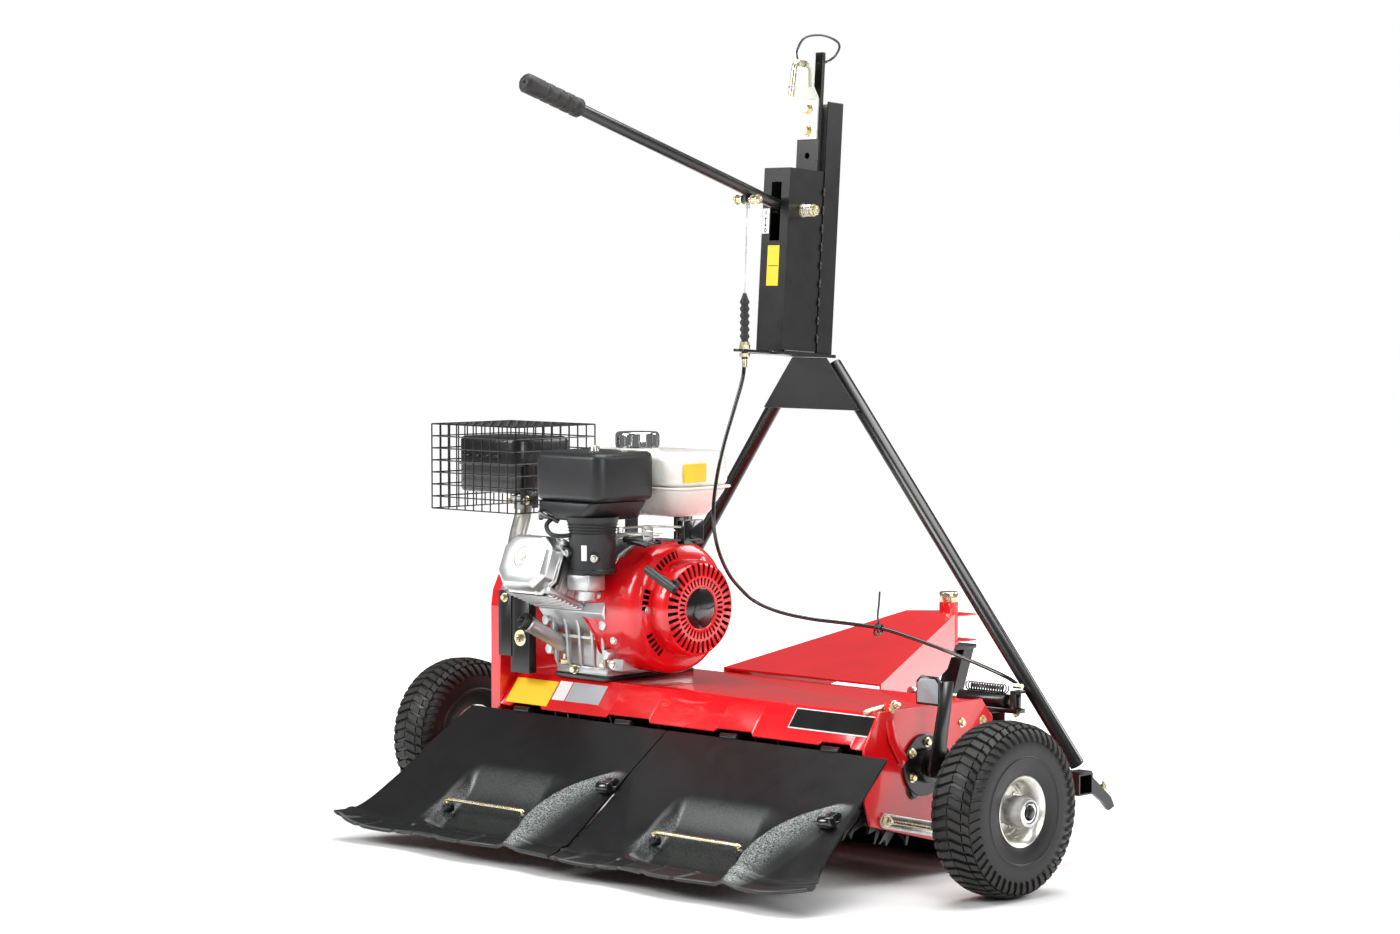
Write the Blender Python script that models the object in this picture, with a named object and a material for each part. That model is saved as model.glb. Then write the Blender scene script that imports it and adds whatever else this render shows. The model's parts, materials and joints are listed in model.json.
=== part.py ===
"""Brush mower: a petrol engine on a rotor deck, two turf wheels and a three-point hitch frame.

Metres, +Z up. X runs across the machine, -Y is the front, where the flaps are.
Every position below is measured from the ground point midway between the two wheels.
The whole machine is then moved by FRAME_SHIFT, so that its box is centred on the origin.
"""
import math

import bmesh
import bpy
from mathutils import Vector

GAP = 0.0003            # between faces that rest on each other
FIT = 0.0005            # running clearance around a shaft or a pin
FRAME_SHIFT = -0.123    # moves the wheels forward of the origin

# Wheels
TYRE_R = 0.150
TYRE_W = 0.095
TYRE_BEAD_R = 0.054
AXLE_R = 0.010
HUB_R = 0.022
HUB_END = 0.056         # hub tube, outward of the wheel's middle

# Wheel arms
ARM_PIVOT = (0.046, 0.198)      # Y, Z
ARM_PIN_R = 0.012
ARM_TUBE_R = 0.020
ARM_FOOT_R = 0.031
ARM_PLATE = 0.010
PEDAL_TOP = 0.358
PEDAL_X = 0.531                 # outer face of the pedal lever
PEDAL_WIDE = 0.055
PEDAL_HIGH = 0.050

# Deck
DECK_HALF = 0.465
ARM_X = DECK_HALF + 0.141           # inner face of a wheel arm's plate
WHEEL_X = ARM_X + 0.0795
SHEET = 0.004
SIDE_PLATE = 0.006
DECK_TOP = 0.296
DECK_FRONT = -0.105
DECK_STRIP_Z = 0.238
DECK_FOLD_Y = -0.060
DECK_REAR = 0.235
DECK_REAR_FOLD_Y = 0.205
DECK_REAR_LOW = 0.110
TOWER_TOP = 0.490
TOWER_BACK = 0.140
COVER_DEPTH = 0.062
COVER_WALL = 0.003

# Rotor
ROTOR_Y = 0.020
ROTOR_Z = 0.157
ROTOR_TUBE_R = 0.025
ROTOR_TIP_R = 0.104
ROTOR_HALF = DECK_HALF - 0.020
ROTOR_SHAFT_R = 0.015
ROTOR_DISCS = 9
ROTOR_TEETH = 12
DISC_THICK = 0.006

# Drive
CRANK_Y = 0.020
CRANK_Z = 0.437
CRANK_R = 0.0125
FLYWHEEL_R = 0.095
PULLEY_X = -(DECK_HALF + 0.035)
PULLEY_W = 0.018
DRIVE_PULLEY_R = 0.046
ROTOR_PULLEY_R = 0.040
GROOVE = 0.006
BELT_W = 0.010
BELT_THICK = 0.007
IDLER_R = 0.020
IDLER_AT = (0.1015, 0.300)
TENSIONER_AT = (0.090, 0.200)
TENSIONER_PIN_R = 0.006
IDLER_PIN_R = 0.005

# Flaps
FLAP_HINGE = (-0.113, 0.232)
FLAP_TOP_HALF = DECK_HALF + 0.060
FLAP_LIP_HALF = DECK_HALF + 0.120
FLAP_THICK = 0.006
FLAP_SEAM = 0.0015
FLAP_LINE = ((-0.1135, 0.2320), (-0.160, 0.199), (-0.300, 0.098), (-0.362, 0.050), (-0.405, 0.036))
SCOOP_DEPTH = 0.026
SCOOP_HALF = 0.118
SCOOP_MIDDLES = {"left": -0.262, "right": 0.275}
HANDLE_R = 0.004
HANDLE_AT = (-0.322, 0.090)

# Rear roller
ROLLER_R = 0.040
ROLLER_Y = 0.262
ROLLER_HALF = DECK_HALF - 0.025
ROLLER_PIN_R = 0.008
ROLLER_ARM_FRONT = {"right": (-0.057, 0.112), "left": (0.132, 0.086)}
ROLLER_ARM_THICK = 0.006
ROLLER_ARM_HALF = 0.013

# Engine
ENGINE_PLATE = (-0.350, -0.206, -0.068, 0.166)   # left, right, front, back
ENGINE_PLATE_THICK = 0.008
CASE_LEFT = -0.345
CASE_FRONT = -0.056
FEET_INSET = 0.004
FEET_THICK = 0.016
CASE_RIGHT = -0.175
HEAD_TILT = math.radians(22.0)
HEAD_X = -0.290
HEAD_HALF = 0.064
HEAD_START = 0.118
HEAD_END = 0.198
COVER_END = 0.240
SHROUD_R = 0.122
SHROUD_END = -0.092
RECOIL_R = 0.087
RECOIL_END = -0.050
STARTER_AT = (-0.070, -0.100, 0.512)
TANK = ((-0.345, -0.012, 0.600), (-0.079, 0.150, 0.722))
TANK_BEVEL = 0.030
CAP_AT = (-0.235, 0.040)
CAP_R = 0.0415
CAP_TOP = 0.755
CLEANER = ((-0.305, -0.163, 0.598), (-0.128, -0.0135, 0.724))
CANISTER_R = 0.038
CANISTER_AT = (-0.187, -0.122)
CANISTER_LOW = 0.502
CARBURETTOR_LOW = 0.472
BOWL_LOW = 0.452
GUARD = ((-0.660, -0.100, 0.597), (-0.418, 0.108, 0.762))
GUARD_PITCH = 0.048
GUARD_WIRE = 0.003
MUFFLER = ((-0.628, -0.068, 0.632), (-0.446, 0.078, 0.738))
EXHAUST_R = 0.016

# Gooseneck and hitch swivel
NECK_FRONT_HALF = 0.200
NECK_FRONT_TOP = 0.300
NECK_FRONT_LOW = 0.2723
NECK_REAR_Y = 0.605
NECK_REAR_HALF = 0.062
NECK_TAIL_HALF = 0.014       # where the neck runs into the swivel tube
NECK_REAR_TOP = 0.393
NECK_LOW_LINE = ((0.306, 0.2723), (0.345, 0.243), (0.400, 0.243), (0.567, 0.292))   # Y, Z of the lower edge
SWIVEL_Y = 0.660
SWIVEL_TUBE_R = 0.019
SWIVEL_LOW = 0.325
SWIVEL_TOP = 0.409
SWIVEL_PIN_R = 0.011
SWIVEL_CAP_R = 0.0187
SWIVEL_CAP_TOP = 0.430
EAR_THICK = 0.008
DRAWBAR_BACK = 0.716
UPRIGHT_DEPTH = 0.030
UPRIGHT_LEAN = 0.39           # run over rise
DRAWBAR_HALF = 0.020
CROSS_Y = 0.330
CROSS_Z = 0.148
CROSS_HALF = 0.600
CROSS_WALL = 0.004

# Rear crossbar and clutch
BAR_LOW = 0.190
BAR_TOP = 0.270
BAR_DEPTH = 0.065
BAR_HALF = DECK_HALF - 0.025
CLUTCH_AXIS = (0.270, 0.2885)
CLUTCH_R = 0.014
CLUTCH_LEFT = 0.362
CLUTCH_RIGHT = 0.470
CLUTCH_BRACKET_X = 0.488
PLUNGER_R = 0.0045
PLUNGER_END = 0.245

# Hitch frame
LEG_R = 0.0135
LEG_WALL = 0.003
LEG_TOP_Z = 0.882
LEG_LOW_Z = 0.186
LEG_HALF_AT_TOP = 0.046
LEG_HALF_AT_LOW = 0.592
LEG_Y_AT_TOP = 0.2755
LEG_Y_AT_LOW = 0.313
GUSSET_LOW_Z = 0.797
GUSSET_HALF_LOW = 0.120
GUSSET_HALF_TOP = 0.042
GUSSET_THICK = 0.006
MAST_AT = (0.0, 0.148, 0.907)
MAST_LEAN = math.radians(3.9)
MAST_HALF = 0.0325
MAST_DEPTH = 0.092
MAST_HEIGHT = 0.337
MAST_WALL = 0.003
FOOT_PLATE = 0.006
SLOT_LOW = 0.203
SLOT_TOP = 0.311
SLOT_HALF = 0.0125
TONGUE = 0.086
CHANNEL_HALF = 0.035
CHANNEL_DEPTH = 0.042
CHANNEL_WALL = 0.004
CHANNEL_TOP = 0.467
BAR_WIDTH_HALF = 0.027
BAR_FRONT = 0.078
BAR_THICK = 0.008
BAR_END = 0.557
BRACKET_LOW = 0.396
BRACKET_TOP = 0.560
BRACKET_THICK = 0.005
BRACKET_JOG = 0.016
TOP_PIN_R = 0.006
TOP_PIN_Z = 0.535

# Hand lever and control cable
LEVER_AT = (0.0, 0.204, 1.1645)
LEVER_LENGTH = 0.697
LEVER_RISE = math.radians(17.6)
LEVER_R = 0.0105
LEVER_WALL = 0.003
GRIP_R = 0.0175
GRIP_LENGTH = 0.135
LEVER_PIN_R = 0.007
LEVER_HUB_HALF = 0.018
BARREL_AT = (0.112, 0.019)
BARREL_R = 0.006
BARREL_HALF = 0.026
BOOT_R = 0.0095
BOOT_NECK_R = 0.0065
BOOT_FOLDS = 6
CABLE_EXIT_Y = 0.084
SOCKET_R = 0.006
CABLE_R = 0.0035
WIRE_R = 0.0010
CABLE_ROUTE = (
    (0.000, 0.0840, 0.888), (-0.001, 0.079, 0.855), (-0.006, 0.062, 0.800), (-0.012, 0.045, 0.745),
    (-0.017, 0.032, 0.690), (-0.020, 0.024, 0.635), (-0.020, 0.024, 0.590), (-0.024, 0.040, 0.545),
    (-0.036, 0.078, 0.500), (-0.046, 0.120, 0.468), (-0.040, 0.155, 0.441), (0.000, 0.178, 0.423),
    (0.060, 0.198, 0.413), (0.120, 0.222, 0.408), (0.186, 0.250, 0.401), (0.250, 0.272, 0.384),
    (0.320, 0.285, 0.365), (0.390, 0.288, 0.347), (0.450, 0.284, 0.332), (0.480, 0.277, 0.324),
    (0.4935, 0.2712, 0.3185),
)

LOOKS = {               # colour, roughness, metallic
    "red_paint": ((0.62, 0.008, 0.012), 0.25, 0.0),
    "black_paint": ((0.012, 0.012, 0.013), 0.35, 0.0),
    "black_plastic": ((0.018, 0.018, 0.02), 0.5, 0.0),
    "cast_aluminium": ((0.62, 0.63, 0.64), 0.45, 1.0),
    "zinc": ((0.72, 0.70, 0.62), 0.3, 1.0),
    "brass_zinc": ((0.80, 0.65, 0.33), 0.3, 1.0),
    "white_paint": ((0.80, 0.79, 0.75), 0.3, 0.0),
    "rubber": ((0.025, 0.025, 0.025), 0.75, 0.0),
    "steel": ((0.5, 0.5, 0.52), 0.35, 1.0),
    "chrome": ((0.8, 0.8, 0.8), 0.1, 1.0),
}

placed = {}             # machine-frame position of each untilted empty


# ---------------------------------------------------------------- helpers

def look_of(name):
    found = bpy.data.materials.get(name)
    if found:
        return found
    colour, roughness, metallic = LOOKS[name]
    made = bpy.data.materials.new(name)
    made.use_nodes = True
    shader = made.node_tree.nodes["Principled BSDF"]
    shader.inputs["Base Color"].default_value = (*colour, 1.0)
    shader.inputs["Roughness"].default_value = roughness
    shader.inputs["Metallic"].default_value = metallic
    return made


def marker(name, parent=None, at=(0.0, 0.0, 0.0), tilt=0.0):
    """An empty that pieces hang on; a tilted one holds pieces drawn in its own axes."""
    made = bpy.data.objects.new(name, None)
    bpy.context.collection.objects.link(made)
    made.parent = parent
    made.location = Vector(at) - (placed[parent.name] if parent else Vector())
    made.rotation_euler.x = tilt
    placed[name] = Vector() if tilt else Vector(at)
    return made


def finish(shape, name, parent, look=None):
    """Turn a bmesh into a named object on its empty, with its faces pointing out."""
    bmesh.ops.recalc_face_normals(shape, faces=shape.faces)
    bmesh.ops.translate(shape, verts=shape.verts, vec=-placed[parent.name])
    mesh = bpy.data.meshes.new(name)
    shape.to_mesh(mesh)
    shape.free()
    if look:
        mesh.materials.append(look_of(look))
        mesh.shade_smooth()
        mesh.set_sharp_from_angle(angle=math.radians(32))
    made = bpy.data.objects.new(name, mesh)
    bpy.context.collection.objects.link(made)
    made.parent = parent
    return made


def shape_tool(base, shape, operation):
    """Join a shape to an object, or cut it away, with a Boolean modifier."""
    helper = finish(shape, f"{base.name}_{operation.lower()}_{len(base.modifiers)}", base.parent)
    helper.hide_render = True
    helper.display_type = "WIRE"
    step = base.modifiers.new(operation.lower(), "BOOLEAN")
    step.operation = operation
    step.object = helper
    step.solver = "EXACT"


def join(base, *shapes):
    for shape in shapes:
        shape_tool(base, shape, "UNION")


def cut(base, *shapes):
    for shape in shapes:
        shape_tool(base, shape, "DIFFERENCE")


def bevel_edges(base, width, segments=2):
    step = base.modifiers.new("rounded", "BEVEL")
    step.width = width
    step.segments = segments
    step.limit_method = "ANGLE"
    step.angle_limit = math.radians(40)


def on_axis(axis, along, u, v):
    """A point from its station along an axis and its two other coordinates, in X, Y, Z order."""
    return {"X": (along, u, v), "Y": (u, along, v), "Z": (u, v, along)}[axis]


def skin(sections, capped=True, closed=False):
    """A surface through equal rings of points, with flat ends or joined end to end."""
    shape = bmesh.new()
    rings = [[shape.verts.new(point) for point in ring] for ring in sections]
    pairs = list(zip(rings, rings[1:])) + ([(rings[-1], rings[0])] if closed else [])
    for one, two in pairs:
        for k in range(len(one)):
            j = (k + 1) % len(one)
            shape.faces.new((one[k], one[j], two[j], two[k]))
    if capped and not closed:
        shape.faces.new(rings[0])
        shape.faces.new(rings[-1])
    return shape


def prism(axis, outline, low, high):
    return skin([[on_axis(axis, along, u, v) for u, v in outline] for along in (low, high)])


def block(low, high):
    (x0, y0, z0), (x1, y1, z1) = low, high
    return prism("Z", ((x0, y0), (x1, y0), (x1, y1), (x0, y1)), z0, z1)


def circle(centre, radius, sides, start=0.0):
    turn = 2 * math.pi / sides
    return [(centre[0] + radius * math.cos(start + turn * k), centre[1] + radius * math.sin(start + turn * k))
            for k in range(sides)]


def turned(axis, centre, profile, sides=32, closed=False):
    """Turn (station, radius) pairs about an axis; closed joins the last pair to the first."""
    rings = [[on_axis(axis, along, u, v) for u, v in circle(centre, radius, sides)]
             for along, radius in profile]
    return skin(rings, closed=closed)


def cylinder(axis, centre, radius, low, high, sides=24):
    return turned(axis, centre, ((low, radius), (high, radius)), sides)


def ring_tube(axis, centre, outer, inner, low, high, sides=24):
    return turned(axis, centre, ((low, outer), (high, outer), (high, inner), (low, inner)), sides,
                  closed=True)


def swept(points, radius, sides=12, bore=0.0):
    """A round bar, or a tube with a bore, along a path of points."""
    path = [Vector(point) for point in points]
    legs = [(b - a).normalized() for a, b in zip(path, path[1:])]
    rings, holes = [], []
    side = legs[0].orthogonal().normalized()
    for k, point in enumerate(path):
        ahead = legs[min(k, len(legs) - 1)]
        behind = legs[max(k - 1, 0)]
        along = (ahead + behind).normalized()
        side = (side - side.dot(along) * along).normalized()
        other = along.cross(side)
        for store, size in ((rings, radius), (holes, bore)):
            store.append([point + size * (math.cos(a) * side + math.sin(a) * other)
                          for a in (2 * math.pi * j / sides for j in range(sides))])
    if bore:
        return skin(rings + holes[::-1], closed=True)
    return skin(rings)


def capsule(a, b, radius, sides=8):
    """Outline of a bar with round ends between two points."""
    heading = math.atan2(b[1] - a[1], b[0] - a[0])
    half = [math.pi * k / sides for k in range(sides + 1)]
    first = [(a[0] + radius * math.cos(heading + math.pi / 2 + t),
              a[1] + radius * math.sin(heading + math.pi / 2 + t))
             for t in half]
    second = [(b[0] + radius * math.cos(heading - math.pi / 2 + t),
               b[1] + radius * math.sin(heading - math.pi / 2 + t))
              for t in half]
    return first + second


def sheet_outline(line, thick):
    """Closed outline of a folded sheet: the line, then the same line moved to its right."""
    points = [Vector(point) for point in line]
    legs = [(b - a).normalized() for a, b in zip(points, points[1:])]
    back = []
    for k, point in enumerate(points):
        normals = [Vector((leg.y, -leg.x)) for leg in (legs[max(k - 1, 0)], legs[min(k, len(legs) - 1)])]
        middle = (normals[0] + normals[1]).normalized()
        back.append(point + middle * (thick / middle.dot(normals[0])))
    return [tuple(point) for point in points + back[::-1]]


def smooth_path(points, per_leg):
    """Points on a smooth curve through the given ones."""
    ends = [Vector(point) for point in points]
    ends = [2 * ends[0] - ends[1]] + ends + [2 * ends[-1] - ends[-2]]
    made = []
    for a, b, c, d in zip(ends, ends[1:], ends[2:], ends[3:]):
        for k in range(per_leg):
            t = k / per_leg
            made.append(0.5 * (2 * b + (c - a) * t + (2 * a - 5 * b + 4 * c - d) * t ** 2
                               + (3 * b - a - 3 * c + d) * t ** 3))
    return made + [ends[-2]]


def rounded_box(low, high, radius, sides=3):
    """A block with its four upright edges rounded, as a prism along Z."""
    (x0, y0, z0), (x1, y1, z1) = low, high
    outline = []
    for cx, cy, start in ((x1 - radius, y1 - radius, 0), (x0 + radius, y1 - radius, 90),
                          (x0 + radius, y0 + radius, 180), (x1 - radius, y0 + radius, 270)):
        for k in range(sides + 1):
            turn = math.radians(start + 90 * k / sides)
            outline.append((cx + radius * math.cos(turn), cy + radius * math.sin(turn)))
    return prism("Z", outline, z0, z1)


# ---------------------------------------------------------------- deck

def deck_housing(deck):
    line = ((DECK_FRONT, DECK_STRIP_Z), (DECK_FOLD_Y, DECK_TOP), (DECK_REAR_FOLD_Y, DECK_TOP),
            (DECK_REAR, DECK_TOP - 0.034), (DECK_REAR, DECK_REAR_LOW))
    half = DECK_HALF - SIDE_PLATE - GAP
    finish(prism("X", sheet_outline(line, SHEET), -half, half), "deck_housing", deck, "red_paint")


def side_plate(deck, side):
    """Side wall of the deck; the left one rises as the inner wall of the belt tower."""
    name, sign = ("side_plate_right", 1) if side == "right" else ("side_plate_left", -1)
    rear_top = [(DECK_REAR, DECK_TOP - 0.030), (DECK_REAR_FOLD_Y, DECK_TOP + 0.004)]
    skid = [(DECK_FRONT + 0.003, 0.143), (-0.089, 0.105), (0.106, 0.055), (0.170, 0.036), (DECK_REAR, 0.100)]
    top = [(DECK_FOLD_Y - 0.006, DECK_TOP + 0.004), (DECK_FRONT, DECK_STRIP_Z + 0.002)]
    if side == "left":
        top = [(TOWER_BACK, DECK_TOP + 0.004), (TOWER_BACK, TOWER_TOP - 0.03), (TOWER_BACK - 0.03, TOWER_TOP),
               (DECK_FRONT + 0.04, TOWER_TOP), (DECK_FRONT + 0.005, TOWER_TOP - 0.035),
               (DECK_FRONT, DECK_STRIP_Z + 0.002)]
    ends = sorted((sign * (DECK_HALF - SIDE_PLATE), sign * DECK_HALF))
    plate = finish(prism("X", skid + rear_top + top, *ends), name, deck, "red_paint")
    through = sorted((sign * (DECK_HALF - 0.05), sign * (DECK_HALF + 0.05)))
    cut(plate, cylinder("X", (ROTOR_Y, ROTOR_Z), ROTOR_SHAFT_R + FIT, *through))
    if side == "left":
        cut(plate, cylinder("X", (CRANK_Y, CRANK_Z), CRANK_R + 0.006, *through),
            cylinder("X", TENSIONER_AT, TENSIONER_PIN_R + FIT, *through, sides=16))


def belt_cover(deck):
    """Cap over the belt: a rounded box that is open towards the side plate."""
    outer = capsule((CRANK_Y + 0.012, ROTOR_Z + 0.002), (CRANK_Y + 0.012, CRANK_Z - 0.02), 0.098, 10)
    inner = capsule((CRANK_Y + 0.012, ROTOR_Z + 0.002), (CRANK_Y + 0.012, CRANK_Z - 0.02),
                    0.098 - COVER_WALL, 10)
    face = -DECK_HALF - GAP
    cover = finish(prism("X", outer, face - COVER_DEPTH, face), "belt_cover", deck, "red_paint")
    cut(cover, prism("X", inner, face - COVER_DEPTH + COVER_WALL, face + 0.01))


def gooseneck(deck):
    """Sloped channel from the deck's rear edge to the swivel tube, deepest behind the rear bar."""
    start = DECK_REAR + GAP

    def station(y, low, half=None, top=NECK_REAR_TOP):
        if half is None:
            share = (y - start) / (NECK_REAR_Y - start)
            half = NECK_FRONT_HALF + (NECK_REAR_HALF - NECK_FRONT_HALF) * share
            top = NECK_FRONT_TOP + (NECK_REAR_TOP - NECK_FRONT_TOP) * share
        inside, under = half - SHEET, top - SHEET
        return [(-half, y, low), (-half, y, top), (half, y, top), (half, y, low),
                (inside, y, low), (inside, y, under), (-inside, y, under), (-inside, y, low)]
    rear_low = SWIVEL_LOW + 0.005
    sections = [station(start, NECK_FRONT_LOW)]
    sections += [station(y, low) for y, low in NECK_LOW_LINE]
    sections += [station(NECK_REAR_Y, rear_low),
                 station(SWIVEL_Y - 0.6 * SWIVEL_TUBE_R, rear_low, NECK_TAIL_HALF)]
    neck = finish(skin(sections), "gooseneck", deck, "red_paint")
    join(neck, cylinder("Z", (0.0, SWIVEL_Y), SWIVEL_TUBE_R, SWIVEL_LOW, SWIVEL_TOP))
    cut(neck, cylinder("Z", (0.0, SWIVEL_Y), SWIVEL_PIN_R + FIT, SWIVEL_LOW - 0.02, SWIVEL_TOP + 0.02))


def rear_crossbar(deck):
    front = DECK_REAR + GAP
    bar = finish(block((-BAR_HALF, front, BAR_LOW), (BAR_HALF, front + BAR_DEPTH, BAR_TOP)),
                 "rear_crossbar", deck, "black_paint")
    wall = 0.005
    cut(bar, block((-BAR_HALF - 0.01, front + wall, BAR_LOW + wall),
                   (BAR_HALF + 0.01, front + BAR_DEPTH - wall, BAR_TOP - wall)))


def arm_bracket(deck, side):
    """Fixed pin that a wheel arm swings on, with the foot that bolts to the side plate."""
    sign = 1 if side == "right" else -1
    y, z = ARM_PIVOT
    pin_end = sign * (ARM_X + ARM_PLATE + 0.004)
    face = sign * (DECK_HALF + GAP)
    if side == "right":
        foot = turned("X", ARM_PIVOT, ((face, ARM_FOOT_R), (face + 0.006, ARM_FOOT_R)), 24)
        bracket = finish(foot, "arm_bracket_right", deck, "black_paint")
        join(bracket, cylinder("X", ARM_PIVOT, ARM_PIN_R, face + 0.001, pin_end))
        return
    back = TOWER_BACK + 0.012
    reach = sign * (DECK_HALF + COVER_DEPTH + 0.012)
    bracket = finish(block((face - 0.008, back, z - 0.035), (face, back + 0.045, z + 0.035)),
                     "arm_bracket_left", deck, "black_paint")
    join(bracket, block((reach - 0.008, back + 0.005, z - 0.025), (face - 0.004, back + 0.030, z + 0.025)),
         prism("X", capsule((y, z), (back + 0.012, z), 0.024), reach - 0.008, reach),
         cylinder("X", ARM_PIVOT, ARM_PIN_R, pin_end, reach - 0.004))


def wheel_arm(body, side):
    """Tube on the fixed pin, plate down to the wheel and the wheel's stub axle."""
    sign = 1 if side == "right" else -1
    inner = DECK_HALF + 0.0085 if side == "right" else DECK_HALF + COVER_DEPTH + 0.0215
    faces = sorted((sign * ARM_X, sign * (ARM_X + ARM_PLATE)))
    axle_end = sign * (WHEEL_X + HUB_END + 0.003)
    arm = finish(prism("X", capsule(ARM_PIVOT, (0.0, TYRE_R), 0.022), *faces),
                 f"wheel_arm_{side}", body, "black_paint")
    join(arm, cylinder("X", ARM_PIVOT, ARM_TUBE_R, *sorted((sign * inner, sign * (ARM_X + 0.002)))),
         cylinder("X", (0.0, TYRE_R), AXLE_R, *sorted((sign * (ARM_X + 0.004), axle_end)), 20))
    if side == "right":
        y, z = ARM_PIVOT
        left = PEDAL_X - PEDAL_WIDE
        join(arm, prism("X", ((y - 0.058, z + 0.002), (y - 0.022, PEDAL_TOP - 0.008),
                              (y + 0.006, PEDAL_TOP - 0.010),
                              (y - 0.013, z + 0.040), (y + 0.004, z + 0.018), (y - 0.004, z - 0.012),
                              (y - 0.054, z - 0.010)), PEDAL_X - 0.005, PEDAL_X),
             prism("Y", ((left, PEDAL_TOP - PEDAL_HIGH), (PEDAL_X - 0.001, PEDAL_TOP - PEDAL_HIGH),
                         (PEDAL_X - 0.001, PEDAL_TOP - 0.009), (PEDAL_X - 0.010, PEDAL_TOP),
                         (left + 0.009, PEDAL_TOP), (left, PEDAL_TOP - 0.009)), y - 0.0305, y - 0.0245))
    cut(arm, cylinder("X", ARM_PIVOT, ARM_PIN_R + FIT,
                      *sorted((sign * (inner - 0.02), sign * (ARM_X + 0.03)))))


def wheel(body, side):
    """Turf tyre on a pressed rim; the hub tube runs on the stub axle."""
    sign = 1 if side == "right" else -1
    half = TYRE_W / 2
    tyre_line = ((-0.40, TYRE_BEAD_R + 0.008), (-0.47, 0.088), (-0.50, 0.110), (-0.47, 0.132), (-0.40, 0.143),
                 (-0.22, TYRE_R - 0.002), (0.0, TYRE_R), (0.22, TYRE_R - 0.002), (0.40, 0.143), (0.47, 0.132),
                 (0.50, 0.110), (0.47, 0.088), (0.40, TYRE_BEAD_R + 0.008), (0.36, TYRE_BEAD_R + GAP),
                 (-0.36, TYRE_BEAD_R + GAP))
    finish(turned("X", (0.0, TYRE_R), [(sign * (WHEEL_X + share * TYRE_W), radius) for share,
                                       radius in tyre_line],
                  36, closed=True), f"tyre_{side}", body, "rubber")
    rim_line = ((-0.020, AXLE_R + FIT), (-0.020, HUB_R), (-0.004, HUB_R), (-0.004, 0.040), (-0.020, 0.046),
                (-half * 0.7, TYRE_BEAD_R - 0.006), (-half * 0.7, TYRE_BEAD_R), (half * 0.7, TYRE_BEAD_R),
                (half * 0.7, TYRE_BEAD_R - 0.005), (0.008, 0.045), (0.004, 0.038), (0.004, HUB_R),
                (HUB_END, HUB_R), (HUB_END, AXLE_R + FIT))
    finish(turned("X", (0.0, TYRE_R), [(sign * (WHEEL_X + along), radius) for along, radius in rim_line],
                  28, closed=True), f"rim_{side}", body, "zinc")


def rear_roller(body):
    profile = ((-DECK_HALF - 0.008, ROLLER_PIN_R), (-ROLLER_HALF, ROLLER_PIN_R), (-ROLLER_HALF, ROLLER_R),
               (ROLLER_HALF, ROLLER_R), (ROLLER_HALF, ROLLER_PIN_R), (DECK_HALF + 0.008, ROLLER_PIN_R))
    finish(turned("X", (ROLLER_Y, ROLLER_R), profile, 32), "rear_roller", body, "black_paint")


def roller_arm(deck, side):
    sign = 1 if side == "right" else -1
    low, high = sorted((sign * (DECK_HALF + GAP), sign * (DECK_HALF + GAP + ROLLER_ARM_THICK)))
    arm = finish(prism("X", capsule(ROLLER_ARM_FRONT[side], (ROLLER_Y, ROLLER_R), ROLLER_ARM_HALF), low,
                       high),
                 f"roller_arm_{side}", deck, "zinc")
    cut(arm, cylinder("X", (ROLLER_Y, ROLLER_R), ROLLER_PIN_R + FIT, low - 0.01, high + 0.01))


# ---------------------------------------------------------------- rotor and drive

def rotor(body):
    """Tube with toothed discs; each disc is turned half a tooth against its neighbour."""
    points = 2 * ROTOR_TEETH

    def ring(along, tip, root, turn=0):
        radii = [tip if (k + turn) % 2 else root for k in range(points)]
        step = 2 * math.pi / points
        return [(along, ROTOR_Y + r * math.cos(step * k), ROTOR_Z + r * math.sin(step * k))
                for k, r in enumerate(radii)]
    shaft_end = DECK_HALF + 0.004
    stub, tube = ROTOR_SHAFT_R, ROTOR_TUBE_R
    rings = [ring(PULLEY_X - PULLEY_W / 2 - 0.004, stub, stub), ring(-ROTOR_HALF, stub, stub),
             ring(-ROTOR_HALF, tube, tube)]
    spacing = 2 * (ROTOR_HALF - 0.02) / (ROTOR_DISCS - 1)
    for k in range(ROTOR_DISCS):
        middle = -ROTOR_HALF + 0.02 + k * spacing
        low, high = middle - DISC_THICK / 2, middle + DISC_THICK / 2
        root = ROTOR_TIP_R - 0.030
        rings += [ring(low, tube, tube), ring(low, ROTOR_TIP_R, root, k), ring(high, ROTOR_TIP_R, root, k),
                  ring(high, tube, tube)]
    rings += [ring(ROTOR_HALF, tube, tube), ring(ROTOR_HALF, stub, stub), ring(shaft_end, stub, stub)]
    finish(skin(rings), "rotor", body, "black_paint")


def pulley(body, name, centre, radius, bore):
    half = PULLEY_W / 2
    profile = ((PULLEY_X - half, bore), (PULLEY_X - half, radius), (PULLEY_X - half + 0.002, radius),
               (PULLEY_X - 0.0035, radius - GROOVE - 0.001), (PULLEY_X + 0.0035, radius - GROOVE - 0.001),
               (PULLEY_X + half - 0.002, radius), (PULLEY_X + half, radius), (PULLEY_X + half, bore))
    finish(turned("X", centre, profile, 32, closed=True), name, body, "steel")


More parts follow.
